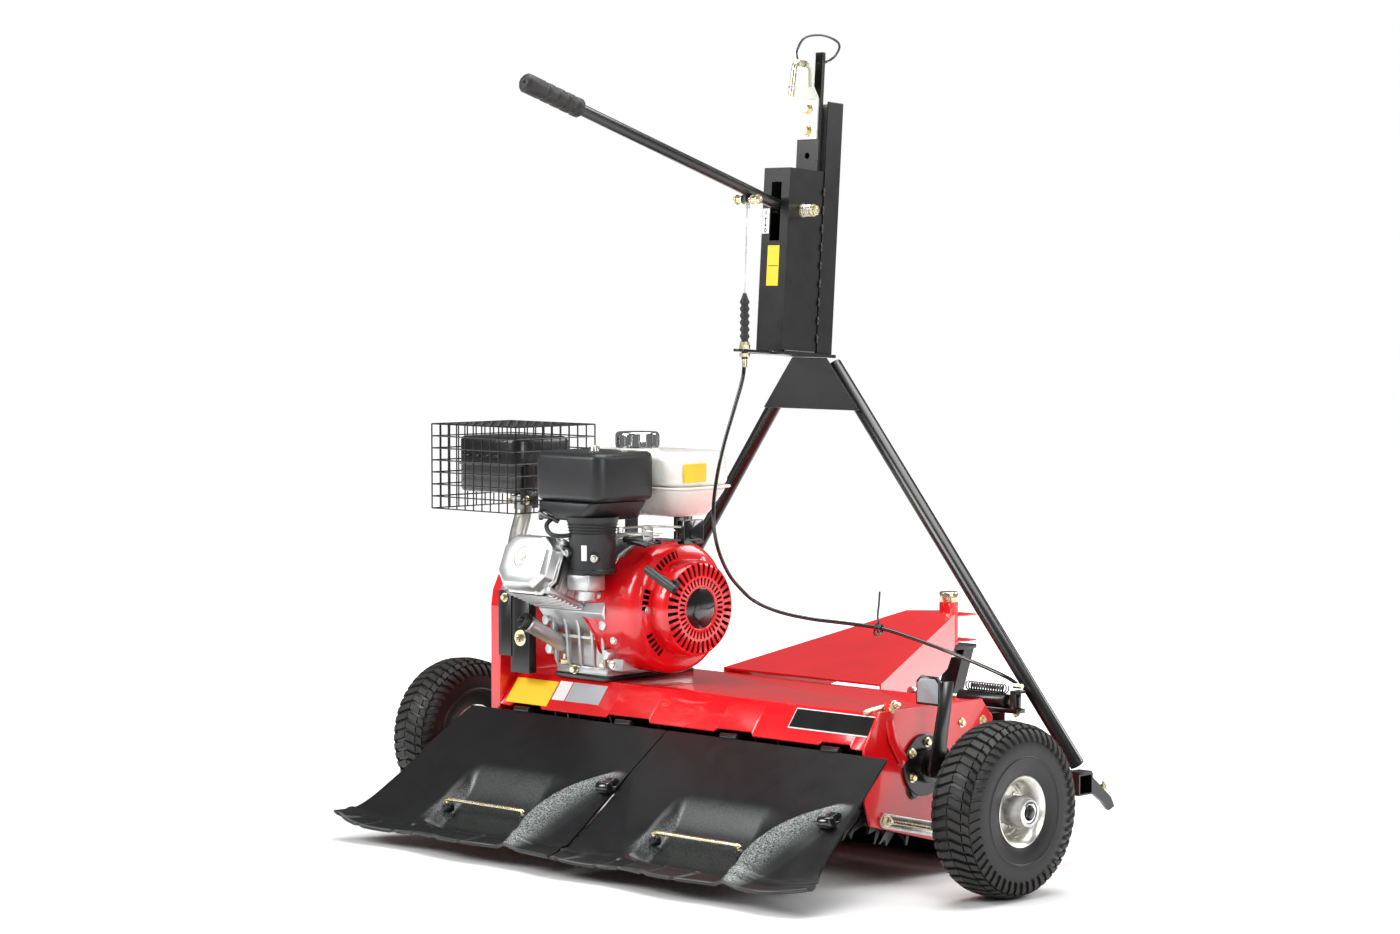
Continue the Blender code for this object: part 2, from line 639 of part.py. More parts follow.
def drive_belt(deck):
    """Band around both pulleys, riding at the groove radius plus the usual gap."""
    def loop(extra):
        points = []
        for (y, z), radius, start in (((CRANK_Y, CRANK_Z), DRIVE_PULLEY_R + 0.0008, 0),
                                      ((ROTOR_Y, ROTOR_Z), ROTOR_PULLEY_R + 0.0008, 180)):
            for k in range(17):
                turn = math.radians(start + 180 * k / 16)
                points.append((y + (radius + extra) * math.cos(turn), z + (radius + extra) * math.sin(turn)))
        return points
    low, high = PULLEY_X - BELT_W / 2, PULLEY_X + BELT_W / 2
    outer, inner = loop(BELT_THICK / 2), loop(0.0)
    sections = [[(low, *o), (high, *o), (high, *i), (low, *i)] for o, i in zip(outer, inner)]
    finish(skin(sections, closed=True), "drive_belt", deck, "rubber")


def crankshaft(body):
    """Engine shaft from the pulley end, through the crankcase, to the flywheel under the fan shroud."""
    flywheel = CASE_RIGHT + 0.012
    profile = ((PULLEY_X - PULLEY_W / 2 - 0.004, CRANK_R), (flywheel, CRANK_R), (flywheel, 0.040),
               (flywheel + 0.008, FLYWHEEL_R), (flywheel + 0.045, FLYWHEEL_R), (flywheel + 0.045, 0.030),
               (flywheel + 0.060, 0.030))
    finish(turned("X", (CRANK_Y, CRANK_Z), profile, 32), "crankshaft", body, "steel")


def tensioner(arm_body, idler_body):
    """Arm with its pivot pin in the side plate, and the idler pulley on the arm's own pin."""
    near = -DECK_HALF - 0.012
    arm = finish(prism("X", capsule(TENSIONER_AT, IDLER_AT, 0.011), near - 0.006, near), "tensioner_arm",
                 arm_body, "zinc")
    join(arm, cylinder("X", TENSIONER_AT, TENSIONER_PIN_R, near - 0.003, -DECK_HALF + 0.002, 16),
         cylinder("X", IDLER_AT, IDLER_PIN_R, PULLEY_X - 0.011, near - 0.003, 16))
    ring = ring_tube("X", IDLER_AT, IDLER_R, IDLER_PIN_R + FIT, PULLEY_X - 0.008, PULLEY_X + 0.008, 24)
    finish(ring, "idler_pulley", idler_body, "steel")


# ---------------------------------------------------------------- engine

def engine_base_plate(deck):
    left, right, front, back = ENGINE_PLATE
    low = DECK_TOP + GAP
    finish(rounded_box((left, front, low), (right, back, low + ENGINE_PLATE_THICK), 0.008),
           "engine_base_plate", deck, "black_paint")


def crankcase(deck):
    """Cast block on its feet, with the sloped face that the cylinder bolts to."""
    floor = DECK_TOP + 2 * GAP + ENGINE_PLATE_THICK
    across = Vector((math.sin(HEAD_TILT), math.cos(HEAD_TILT)))
    face = Vector((CRANK_Y, CRANK_Z)) + HEAD_START * Vector((-math.cos(HEAD_TILT), math.sin(HEAD_TILT)))
    outline = [(CASE_FRONT, floor + 0.012), (CASE_FRONT, 0.360), tuple(face - 0.058 * across),
               tuple(face + 0.058 * across),
               (0.000, 0.565), (0.070, 0.548), (0.118, 0.480), (0.130, 0.400), (0.128, floor + 0.012)]
    case = finish(prism("X", outline, CASE_LEFT, CASE_RIGHT), "crankcase", deck, "cast_aluminium")
    left, right, front, back = ENGINE_PLATE
    join(case, block((left + FEET_INSET, front + FEET_INSET, floor),
                     (right - FEET_INSET, back - FEET_INSET, floor + FEET_THICK)))
    cut(case, cylinder("X", (CRANK_Y, CRANK_Z), CRANK_R + FIT, CASE_LEFT - 0.02, CASE_RIGHT + 0.02))


def cylinder_head(head):
    """Finned barrel and head, drawn with -Y along the cylinder."""
    fins = 8
    root, reach = 0.046, 0.056
    start, end = HEAD_START + GAP, HEAD_END
    pitch = (end - start) / (2 * fins - 1)
    upper = []
    for k in range(2 * fins - 1):
        level = reach if k % 2 == 0 else root
        upper += [(-(start + pitch * k), level), (-(start + pitch * (k + 1)), level)]
    lower = [(y, -z) for y, z in reversed(upper)]
    finish(prism("X", upper + lower, HEAD_X - HEAD_HALF, HEAD_X + HEAD_HALF), "cylinder_head", head,
           "cast_aluminium")


def valve_cover(head):
    across, up, corner = HEAD_HALF + 0.005, 0.055, 0.024
    outline = ((-across + corner, -up), (across - corner, -up), (across, -up + corner), (across, up - corner),
               (across - corner, up), (-across + corner, up), (-across, up - corner), (-across, -up + corner))

    def ring(y, share):
        return [(HEAD_X + share * x, y, share * z) for x, z in outline]
    finish(skin([ring(-HEAD_END - GAP, 1.0), ring(-HEAD_END - 0.008, 1.0), ring(-HEAD_END - 0.011, 0.90),
                 ring(-COVER_END + 0.006, 0.86), ring(-COVER_END, 0.74)]), "valve_cover", head,
           "cast_aluminium")


def fan_shroud(deck):
    start = CASE_RIGHT + 0.0095
    wall = 0.003
    profile = ((start, SHROUD_R), (SHROUD_END - 0.018, SHROUD_R), (SHROUD_END, SHROUD_R - 0.018),
               (SHROUD_END, 0.060),
               (SHROUD_END - wall, 0.060), (SHROUD_END - wall, SHROUD_R - 0.018 - wall / 2),
               (SHROUD_END - 0.018 - wall / 2, SHROUD_R - wall), (start, SHROUD_R - wall))
    finish(turned("X", (CRANK_Y, CRANK_Z), profile, 32, closed=True), "fan_shroud", deck, "red_paint")


def recoil_cover(deck):
    start, wall = SHROUD_END + GAP, 0.003
    profile = ((start, RECOIL_R), (RECOIL_END - 0.012, RECOIL_R), (RECOIL_END, RECOIL_R - 0.012),
               (RECOIL_END, 0.010),
               (RECOIL_END - wall, 0.010), (RECOIL_END - wall, RECOIL_R - 0.012 - wall / 2),
               (RECOIL_END - 0.012 - wall / 2, RECOIL_R - wall), (start, RECOIL_R - wall))
    finish(turned("X", (CRANK_Y, CRANK_Z), profile, 32, closed=True), "recoil_cover", deck, "red_paint")


def starter_handle(body):
    """T-grip of the pull starter with the start of its rope."""
    x, y, z = STARTER_AT
    grip = finish(turned("X", (y, z), ((x - 0.022, 0.005), (x - 0.016, 0.009), (x + 0.016, 0.009),
                                       (x + 0.022, 0.005)),
                         12), "starter_handle", body, "black_plastic")
    join(grip, cylinder("Y", (x, z), 0.0025, y, y + 0.040, 8))


def air_cleaner(deck):
    """Filter box on the round intake canister."""
    low, high = CLEANER
    box = finish(rounded_box(low, high, 0.030, 4), "air_cleaner", deck, "black_plastic")
    bevel_edges(box, 0.008)
    join(box, cylinder("Z", CANISTER_AT, CANISTER_R, CANISTER_LOW, low[2] + 0.004, 24))


def carburettor(deck):
    """Body under the intake canister, with its float bowl."""
    x, y = CANISTER_AT
    body = block((x - 0.028, y - 0.038, CARBURETTOR_LOW), (x + 0.028, y + 0.006, CANISTER_LOW - GAP))
    carb = finish(body, "carburettor", deck, "cast_aluminium")
    join(carb, cylinder("Z", (x, y - 0.014), 0.018, BOWL_LOW, CARBURETTOR_LOW + 0.004, 16))


def fuel_tank(deck):
    low, high = TANK
    tank = finish(rounded_box(low, high, TANK_BEVEL + 0.01, 4), "fuel_tank", deck, "white_paint")
    bevel_edges(tank, 0.016)
    join(tank, cylinder("Z", CAP_AT, CAP_R - 0.006, high[2] - 0.004, high[2] + 0.012, 24))


def fuel_cap(body):
    low = TANK[1][2] + 0.0006
    profile = ((low, CAP_R), (CAP_TOP - 0.004, CAP_R), (CAP_TOP, CAP_R - 0.004), (CAP_TOP, 0.0100),
               (TANK[1][2] + 0.0126, 0.0100), (TANK[1][2] + 0.0126, CAP_R - 0.006 + FIT),
               (low, CAP_R - 0.006 + FIT))
    lid = finish(turned("Z", CAP_AT, profile, 32, closed=True), "fuel_cap", body, "chrome")
    join(lid, cylinder("Z", CAP_AT, 0.0120, TANK[1][2] + 0.018, CAP_TOP - 0.001, 16))


def exhaust_pipe(deck):
    left = HEAD_X - HEAD_HALF - GAP
    top = MUFFLER[0][2] - GAP
    bend = smooth_path(((left - 0.020, -0.118, 0.486), (left - 0.052, -0.110, 0.500),
                        (left - 0.086, -0.078, 0.545),
                        (left - 0.106, -0.044, 0.590), (left - 0.108, -0.040, top - 0.020)), 3)
    path = [(left, -0.118, 0.486)] + bend + [(left - 0.108, -0.040, top)]
    finish(swept(path, EXHAUST_R, 12), "exhaust_pipe", deck, "steel")


def muffler(deck):
    low, high = Vector(MUFFLER[0]), Vector(MUFFLER[1])
    box = finish(rounded_box(low, high, 0.030, 4), "muffler", deck, "black_paint")
    bevel_edges(box, 0.008)
    inset = Vector((0.010, 0.010, 0.003))
    cut(box, rounded_box(low + inset, high - inset, 0.020, 3),
        cylinder("Z", (HEAD_X - HEAD_HALF - GAP - 0.108, -0.040), EXHAUST_R - 0.003, low.z - 0.01,
                 low.z + 0.02, 12))


def muffler_guard(deck):
    """Open-bottomed wire cage: a box of squares turned into wires."""
    low, high = Vector(GUARD[0]), Vector(GUARD[1])
    size = high - low
    counts = [max(2, round(side / GUARD_PITCH)) for side in size]
    shape = bmesh.new()
    corners = {}

    def corner(i, j, k):
        if (i, j, k) not in corners:
            share = Vector((i / counts[0], j / counts[1], k / counts[2]))
            corners[i, j, k] = shape.verts.new(low + Vector(a * b for a, b in zip(share, size)))
        return corners[i, j, k]

    def panel(fixed, value):
        """Squares of one wall; fixed is the axis it is square to."""
        one, two = [axis for axis in range(3) if axis != fixed]
        for a in range(counts[one]):
            for b in range(counts[two]):
                square = []
                for da, db in ((0, 0), (1, 0), (1, 1), (0, 1)):
                    place = [0, 0, 0]
                    place[fixed], place[one], place[two] = value, a + da, b + db
                    square.append(corner(*place))
                shape.faces.new(square)
    for fixed, value in ((0, 0), (0, counts[0]), (1, 0), (1, counts[1]), (2, counts[2])):
        panel(fixed, value)
    cage = finish(shape, "muffler_guard", deck, "black_paint")
    wires = cage.modifiers.new("wires", "WIREFRAME")
    wires.thickness = GUARD_WIRE
    wires.use_even_offset = True
    wires.use_boundary = True
    wires.use_replace = True
    wires.offset = -1.0


# ---------------------------------------------------------------- flaps

def flap_surface(share, across, side):
    """Point of a flap: share runs from hinge to lip, across from the seam to the outer edge."""
    sign = 1 if side == "right" else -1
    steps = [math.dist(a, b) for a, b in zip(FLAP_LINE, FLAP_LINE[1:])]
    left = share * sum(steps)
    for (a, b), step in zip(zip(FLAP_LINE, FLAP_LINE[1:]), steps):
        if left <= step + 1e-9:
            break
        left -= step
    y = a[0] + (b[0] - a[0]) * left / step
    z = a[1] + (b[1] - a[1]) * left / step
    edge = FLAP_TOP_HALF + (FLAP_LIP_HALF - FLAP_TOP_HALF) * share
    x = sign * (FLAP_SEAM + across * (edge - FLAP_SEAM))
    off = abs(x - SCOOP_MIDDLES[side]) / SCOOP_HALF
    depth = SCOOP_DEPTH * max(0.0, 1 - off ** 4) * max(0.0, 1 - ((share - 0.73) / 0.20) ** 2)
    return Vector((x, y + 0.45 * depth, z - 0.85 * depth))


def flap(body, side):
    """Moulded flap with a scoop behind its pull rod."""
    rows, columns = 11, 11
    shape = bmesh.new()
    grid = [[shape.verts.new(flap_surface(r / rows, c / columns, side)) for c in range(columns + 1)]
            for r in range(rows + 1)]
    for r in range(rows):
        for c in range(columns):
            shape.faces.new((grid[r][c], grid[r][c + 1], grid[r + 1][c + 1], grid[r + 1][c]))
    bmesh.ops.recalc_face_normals(shape, faces=shape.faces)
    middle = shape.faces[len(shape.faces) // 2]
    if middle.normal.z < 0:
        bmesh.ops.reverse_faces(shape, faces=shape.faces)
    shape.normal_update()
    top = {vert: vert.co.copy() for vert in shape.verts}
    under = {vert: shape.verts.new(vert.co - FLAP_THICK * vert.normal) for vert in list(top)}
    for face in list(shape.faces):
        shape.faces.new([under[vert] for vert in reversed(face.verts)])
    for edge in [e for e in shape.edges if len(e.link_faces) == 1 and all(v in under for v in e.verts)]:
        a, b = edge.verts
        shape.faces.new((a, b, under[b], under[a]))
    finish(shape, f"flap_{side}", body, "black_plastic")


def flap_handle(body, side):
    """Pull rod across the scoop, with both ends bent down to the scoop's floor."""
    middle, half = SCOOP_MIDDLES[side], SCOOP_HALF - 0.016
    y, z = HANDLE_AT
    bend = 0.008
    path = ((middle - half, y + 0.003, z - 0.0115), (middle - half, y + 0.001, z - bend),
            (middle - half + bend, y, z),
            (middle + half - bend, y, z), (middle + half, y + 0.001, z - bend),
            (middle + half, y + 0.003, z - 0.0115))
    finish(swept(path, HANDLE_R, 10), f"flap_handle_{side}", body, "brass_zinc")


# ---------------------------------------------------------------- clutch and cable

def clutch(deck, plunger_body):
    """Spring housing on the crossbar, with its cable bracket, and the rod that it pulls."""
    low = BAR_TOP + GAP
    y, z = CLUTCH_AXIS
    housing = finish(cylinder("X", CLUTCH_AXIS, CLUTCH_R, CLUTCH_LEFT, CLUTCH_RIGHT, 20), "clutch_housing",
                     deck,
                     "black_paint")
    x = CLUTCH_BRACKET_X
    join(housing, block((CLUTCH_LEFT + 0.01, y - 0.012, low), (x + 0.012, y + 0.012, low + 0.008)),
         block((x - 0.003, y - 0.012, low + 0.002), (x + 0.003, y + 0.012, z + 0.022)),
         block((x - 0.003, y - 0.012, z + 0.017), (x + 0.012, y + 0.012, z + 0.022)))
    cut(housing, cylinder("X", CLUTCH_AXIS, PLUNGER_R + FIT, CLUTCH_LEFT - 0.01, CLUTCH_RIGHT - 0.02, 16))
    rod = finish(cylinder("X", CLUTCH_AXIS, PLUNGER_R, PLUNGER_END, CLUTCH_RIGHT - 0.055, 16),
                 "clutch_plunger",
                 plunger_body, "zinc")
    join(rod, cylinder("Y", (PLUNGER_END, z), 0.009, y - 0.004, y + 0.004, 16))


def control_cable(deck):
    """Outer cable from the mast's tongue, behind the starter cover, to the clutch bracket."""
    curve = bpy.data.curves.new("control_cable", "CURVE")
    curve.dimensions = "3D"
    curve.bevel_depth = CABLE_R
    curve.bevel_resolution = 2
    curve.use_fill_caps = True
    line = curve.splines.new("POLY")
    points = smooth_path(CABLE_ROUTE, 3)
    line.points.add(len(points) - 1)
    for slot, point in zip(line.points, points):
        slot.co = (*point, 1.0)
    made = bpy.data.objects.new("control_cable", curve)
    bpy.context.collection.objects.link(made)
    made.parent = deck
    curve.materials.append(look_of("black_plastic"))


# ---------------------------------------------------------------- hitch frame

def leg_point(share, sign):
    """Point on a leg's axis, share 0 at the top and 1 at the foot."""
    return Vector((sign * (LEG_HALF_AT_TOP + (LEG_HALF_AT_LOW - LEG_HALF_AT_TOP) * share),
                   LEG_Y_AT_TOP + (LEG_Y_AT_LOW - LEG_Y_AT_TOP) * share,
                   LEG_TOP_Z + (LEG_LOW_Z - LEG_TOP_Z) * share))


def hitch_leg(hitch, side):
    sign = 1 if side == "right" else -1
    finish(swept((leg_point(0, sign), leg_point(1, sign)), LEG_R, 16, LEG_R - LEG_WALL), f"hitch_leg_{side}",
           hitch,
           "black_paint")


def gusset_plate(hitch):
    """Plate across the front of both legs, just under the mast."""
    def front_of_leg(z):
        share = (LEG_TOP_Z - z) / (LEG_TOP_Z - LEG_LOW_Z)
        return leg_point(share, 1).y - LEG_R - 0.0005
    top = mast_underside(LEG_Y_AT_TOP - LEG_R) - GAP
    rings = []
    for offset in (0.0, -GUSSET_THICK):
        rings.append([(x, front_of_leg(z) + offset, z) for x, z in (
            (-GUSSET_HALF_LOW, GUSSET_LOW_Z), (GUSSET_HALF_LOW, GUSSET_LOW_Z),
            (GUSSET_HALF_TOP, top), (-GUSSET_HALF_TOP, top))])
    finish(skin(rings), "gusset_plate", hitch, "black_paint")


def mast_underside(y):
    """Height of the underside of the mast's leaning foot plate."""
    return MAST_AT[2] - FOOT_PLATE / math.cos(MAST_LEAN) - (y - MAST_AT[1]) * math.tan(MAST_LEAN)


def lever_in_mast():
    """The lever's pivot in the mast's own axes, as its Y and Z."""
    y, z = LEVER_AT[1] - MAST_AT[1], LEVER_AT[2] - MAST_AT[2]
    return (y * math.cos(MAST_LEAN) - z * math.sin(MAST_LEAN),
            z * math.cos(MAST_LEAN) + y * math.sin(MAST_LEAN))


def mast_box(mast):
    """Slotted box on a foot plate, drawn in the mast's own leaning axes."""
    box = finish(block((-MAST_HALF, 0.0, -0.003), (MAST_HALF, MAST_DEPTH, MAST_HEIGHT)), "mast_box", mast,
                 "black_paint")
    wall = MAST_WALL
    cut(box, block((-MAST_HALF + wall, wall, 0.004),
                   (MAST_HALF - wall, MAST_DEPTH - wall, MAST_HEIGHT + 0.01)))
    join(box, block((-0.045, -0.006, -FOOT_PLATE), (0.045, MAST_DEPTH + CHANNEL_DEPTH, 0.0)),
         prism("Z", ((-0.013, 0.0), (-0.013, -TONGUE + 0.006), (-0.007, -TONGUE), (0.007, -TONGUE),
                     (0.013, -TONGUE + 0.006), (0.013, 0.0)), -FOOT_PLATE + 0.0005, -0.0005))
    cut(box, block((-SLOT_HALF, -0.01, SLOT_LOW), (SLOT_HALF, wall + 0.01, SLOT_TOP)),
        cylinder("X", lever_in_mast(), LEVER_PIN_R + FIT, -MAST_HALF - 0.01, MAST_HALF + 0.01, 18),
        cylinder("Z", (0.0, CABLE_EXIT_Y - MAST_AT[1]), SOCKET_R + FIT, -0.02, 0.01, 16))


def mast_channel(mast):
    """Channel behind the box, open to the front."""
    half, wall = CHANNEL_HALF, CHANNEL_WALL
    front = MAST_DEPTH + GAP
    back = front + CHANNEL_DEPTH - 0.001
    outline = ((-half, front), (-half, back), (half, back), (half, front), (half - wall, front),
               (half - wall, back - wall), (-half + wall, back - wall), (-half + wall, front))
    finish(prism("Z", outline, GAP, CHANNEL_TOP), "mast_channel", mast, "black_paint")


def inner_bar(mast):
    low = MAST_HEIGHT - 0.060
    bar = finish(block((-BAR_WIDTH_HALF, BAR_FRONT, low), (BAR_WIDTH_HALF, BAR_FRONT + BAR_THICK, BAR_END)),
                 "inner_bar", mast, "black_paint")
    cut(bar, cylinder("Y", (0.0, 0.366), 0.006, BAR_FRONT - 0.02, BAR_FRONT + 0.03, 16),
        cylinder("Y", (0.0, TOP_PIN_Z), TOP_PIN_R + FIT, BAR_FRONT - 0.02, BAR_FRONT + 0.03, 16))


def top_bracket(mast):
    """Zinc strap bolted to the bar, jogged forward to leave a throat for the top hook."""
    back = BAR_FRONT - GAP
    line = ((back, BRACKET_LOW), (back, 0.470), (back - BRACKET_JOG, 0.492),
            (back - BRACKET_JOG, BRACKET_TOP))
    strap = finish(prism("X", sheet_outline(line, -BRACKET_THICK), -BAR_WIDTH_HALF + 0.002,
                         BAR_WIDTH_HALF - 0.002),
                   "top_bracket", mast, "zinc")
    cut(strap, cylinder("Y", (0.0, TOP_PIN_Z), TOP_PIN_R + FIT, back - 0.05, back + 0.02, 16))


def top_pin(body):
    """Bent pin through the bracket and the bar."""
    front = BAR_FRONT - BRACKET_JOG - BRACKET_THICK
    path = ((0.0, BAR_FRONT + BAR_THICK + 0.004, TOP_PIN_Z), (0.0, front - 0.014, TOP_PIN_Z),
            (0.0, front - 0.020, TOP_PIN_Z - 0.003), (0.0, front - 0.024, TOP_PIN_Z - 0.010),
            (0.0, front - 0.030, TOP_PIN_Z - 0.066))
    finish(swept(path, TOP_PIN_R - 0.0005, 12), "top_pin", body, "brass_zinc")


def drawbar(hitch):
    """Plate under the swivel tube, leaning upright, bar forward to the cross tube with its hooks."""
    half = DRAWBAR_HALF
    lower = SWIVEL_LOW - GAP
    low = CROSS_Z - half
    knee = DRAWBAR_BACK - UPRIGHT_LEAN * (lower - low - 2 * half)
    foot = knee - UPRIGHT_LEAN * 2 * half
    bar = finish(prism("X", ((DRAWBAR_BACK, lower - 0.001), (DRAWBAR_BACK - UPRIGHT_DEPTH, lower - 0.001),
                             (knee - UPRIGHT_DEPTH, low + 2 * half), (CROSS_Y, low + 2 * half),
                             (CROSS_Y, low),
                             (foot, low)), -half, half), "drawbar", hitch, "black_paint")
    ear = half + 0.004
    outline = [(-ear, DRAWBAR_BACK), (-ear, SWIVEL_Y)]
    outline += [(-ear * math.cos(math.radians(t)), SWIVEL_Y - ear * math.sin(math.radians(t)))
                for t in range(30, 180, 30)]
    outline += [(ear, SWIVEL_Y), (ear, DRAWBAR_BACK)]
    join(bar, prism("Z", outline, lower - EAR_THICK, lower))
    join(bar, block((-CROSS_HALF, CROSS_Y - half, low + 0.001),
                    (CROSS_HALF, CROSS_Y + half, low + 2 * half - 0.001)))
    wall = CROSS_WALL
    cut(bar, block((-CROSS_HALF - 0.01, CROSS_Y - half + wall, low + wall),
                   (CROSS_HALF + 0.01, CROSS_Y + half - wall, low + 2 * half - wall)))
    foot_top = LEG_LOW_Z - LEG_R - 0.002
    for sign in (-1, 1):
        pad = sorted((sign * (CROSS_HALF - 0.030), sign * CROSS_HALF))
        hook = sorted((sign * (CROSS_HALF - 0.010), sign * (CROSS_HALF - 0.002)))
        join(bar, block((pad[0], CROSS_Y - 0.018, low + 2 * half - wall + 0.001),
                        (pad[1], CROSS_Y + 0.018, foot_top)),
             prism("X", ((CROSS_Y + half - 0.002, low + 0.034), (CROSS_Y + 0.075, low - 0.010),
                         (CROSS_Y + 0.085, low - 0.028), (CROSS_Y + 0.070, low - 0.034),
                         (CROSS_Y + 0.050, low - 0.016), (CROSS_Y + half - 0.002, low + 0.006)), *hook))
    cut(bar, cylinder("Z", (0.0, SWIVEL_Y), SWIVEL_PIN_R + FIT, lower - 0.03, lower + 0.03))


def pivot_pin(hitch):
    """Pin through the swivel tube, with its cap above the tube and its nut under the drawbar's plate."""
    top = SWIVEL_TOP + GAP
    low = SWIVEL_LOW - GAP - EAR_THICK - GAP
    profile = ((low - 0.014, SWIVEL_PIN_R + 0.004), (low, SWIVEL_PIN_R + 0.004), (low, SWIVEL_PIN_R),
               (top, SWIVEL_PIN_R), (top, SWIVEL_CAP_R), (SWIVEL_CAP_TOP - 0.002, SWIVEL_CAP_R),
               (SWIVEL_CAP_TOP, SWIVEL_CAP_R - 0.002))
    finish(turned("Z", (0.0, SWIVEL_Y), profile, 24), "pivot_pin", hitch, "brass_zinc")


# ---------------------------------------------------------------- hand lever

def hand_lever(lever):
    """Lever tube, its hub on the pivot bolt, and the barrel pin that pulls the wire."""
    _, y, z = LEVER_AT
    heading = Vector((0.0, -math.cos(LEVER_RISE), math.sin(LEVER_RISE)))
    root = Vector(LEVER_AT)
    end = root + heading * (LEVER_LENGTH - 0.006)
    bar = finish(swept((root + heading * 0.008, end), LEVER_R, 12, LEVER_R - LEVER_WALL), "hand_lever", lever,
                 "black_paint")
    barrel = (y - BARREL_AT[0], z + BARREL_AT[1])
    join(bar, cylinder("X", (y, z), 0.016, -LEVER_HUB_HALF, LEVER_HUB_HALF, 20),
         prism("X", ((barrel[0] - 0.008, barrel[1] - 0.004), (barrel[0] + 0.008, barrel[1] - 0.004),
                     (barrel[0] + 0.012, barrel[1] + 0.016), (barrel[0] - 0.012, barrel[1] + 0.022)), -0.003,
               0.003),
         cylinder("X", barrel, BARREL_R, -BARREL_HALF, BARREL_HALF, 14))
    cut(bar, cylinder("X", (y, z), LEVER_PIN_R + FIT, -0.05, 0.05, 20))


def lever_grip(lever):
    """Rubber grip over the lever's end, with shallow rings."""
    heading = Vector((0.0, -math.cos(LEVER_RISE), math.sin(LEVER_RISE)))
    start = Vector(LEVER_AT) + heading * (LEVER_LENGTH - GRIP_LENGTH)
    side = Vector((1.0, 0.0, 0.0))
    other = heading.cross(side)
    inner = (LEVER_R + GAP) / math.cos(math.pi / 12)
    stations = [(0.0, inner), (0.0, GRIP_R)]
    for k in range(4):
        along = 0.012 + 0.024 * k
        stations += [(along, GRIP_R), (along + 0.002, GRIP_R - 0.002), (along + 0.008, GRIP_R - 0.002),
                     (along + 0.010, GRIP_R)]
    stations += [(GRIP_LENGTH - 0.006, GRIP_R), (GRIP_LENGTH, GRIP_R - 0.006), (GRIP_LENGTH, 0.002),
                 (GRIP_LENGTH - 0.0055, 0.002), (GRIP_LENGTH - 0.0055, inner)]
    rings = [[start + heading * along + radius * (math.cos(a) * side + math.sin(a) * other)
              for a in (2 * math.pi * j / 12 for j in range(12))] for along, radius in stations]
    finish(skin(rings, closed=True), "lever_grip", lever, "rubber")


def lever_bolt(hitch):
    _, y, z = LEVER_AT
    head = MAST_HALF + 0.0035
    profile = ((-head - 0.010, 0.0105), (-head, 0.0105), (-head, LEVER_PIN_R), (head, LEVER_PIN_R),
               (head, 0.0105),
               (head + 0.010, 0.0105), (head + 0.010, LEVER_PIN_R), (head + 0.026, LEVER_PIN_R))
    finish(turned("X", (y, z), profile, 18), "lever_bolt", hitch, "brass_zinc")


def cable_boot(hitch):
    """Bellows on a threaded socket that passes through the mast's tongue."""
    plate = MAST_AT[2] + (MAST_AT[1] - CABLE_EXIT_Y) * math.tan(MAST_LEAN)
    base = plate + 0.013
    profile = [(plate - FOOT_PLATE - 0.012, SOCKET_R), (plate + 0.002, SOCKET_R), (plate + 0.002, 0.0085),
               (base, 0.0085), (base, BOOT_NECK_R)]
    fold = 0.0125
    for k in range(BOOT_FOLDS):
        low = base + 0.004 + fold * k
        profile += [(low, BOOT_NECK_R), (low + fold / 2, BOOT_R)]
    top = base + 0.004 + fold * BOOT_FOLDS
    profile += [(top, BOOT_NECK_R), (top + 0.010, 0.003)]
    finish(turned("Z", (0.0, CABLE_EXIT_Y), profile, 12), "cable_boot", hitch, "rubber")
    return top + 0.010


def inner_wire(hitch, low):
    _, y, z = LEVER_AT
    barrel = (0.0, y - BARREL_AT[0] - 0.001, z + BARREL_AT[1] - BARREL_R - GAP - WIRE_R)
    finish(swept(((0.0, CABLE_EXIT_Y, low + GAP), barrel), WIRE_R, 8), "inner_wire", hitch, "steel")


# ---------------------------------------------------------------- assembly

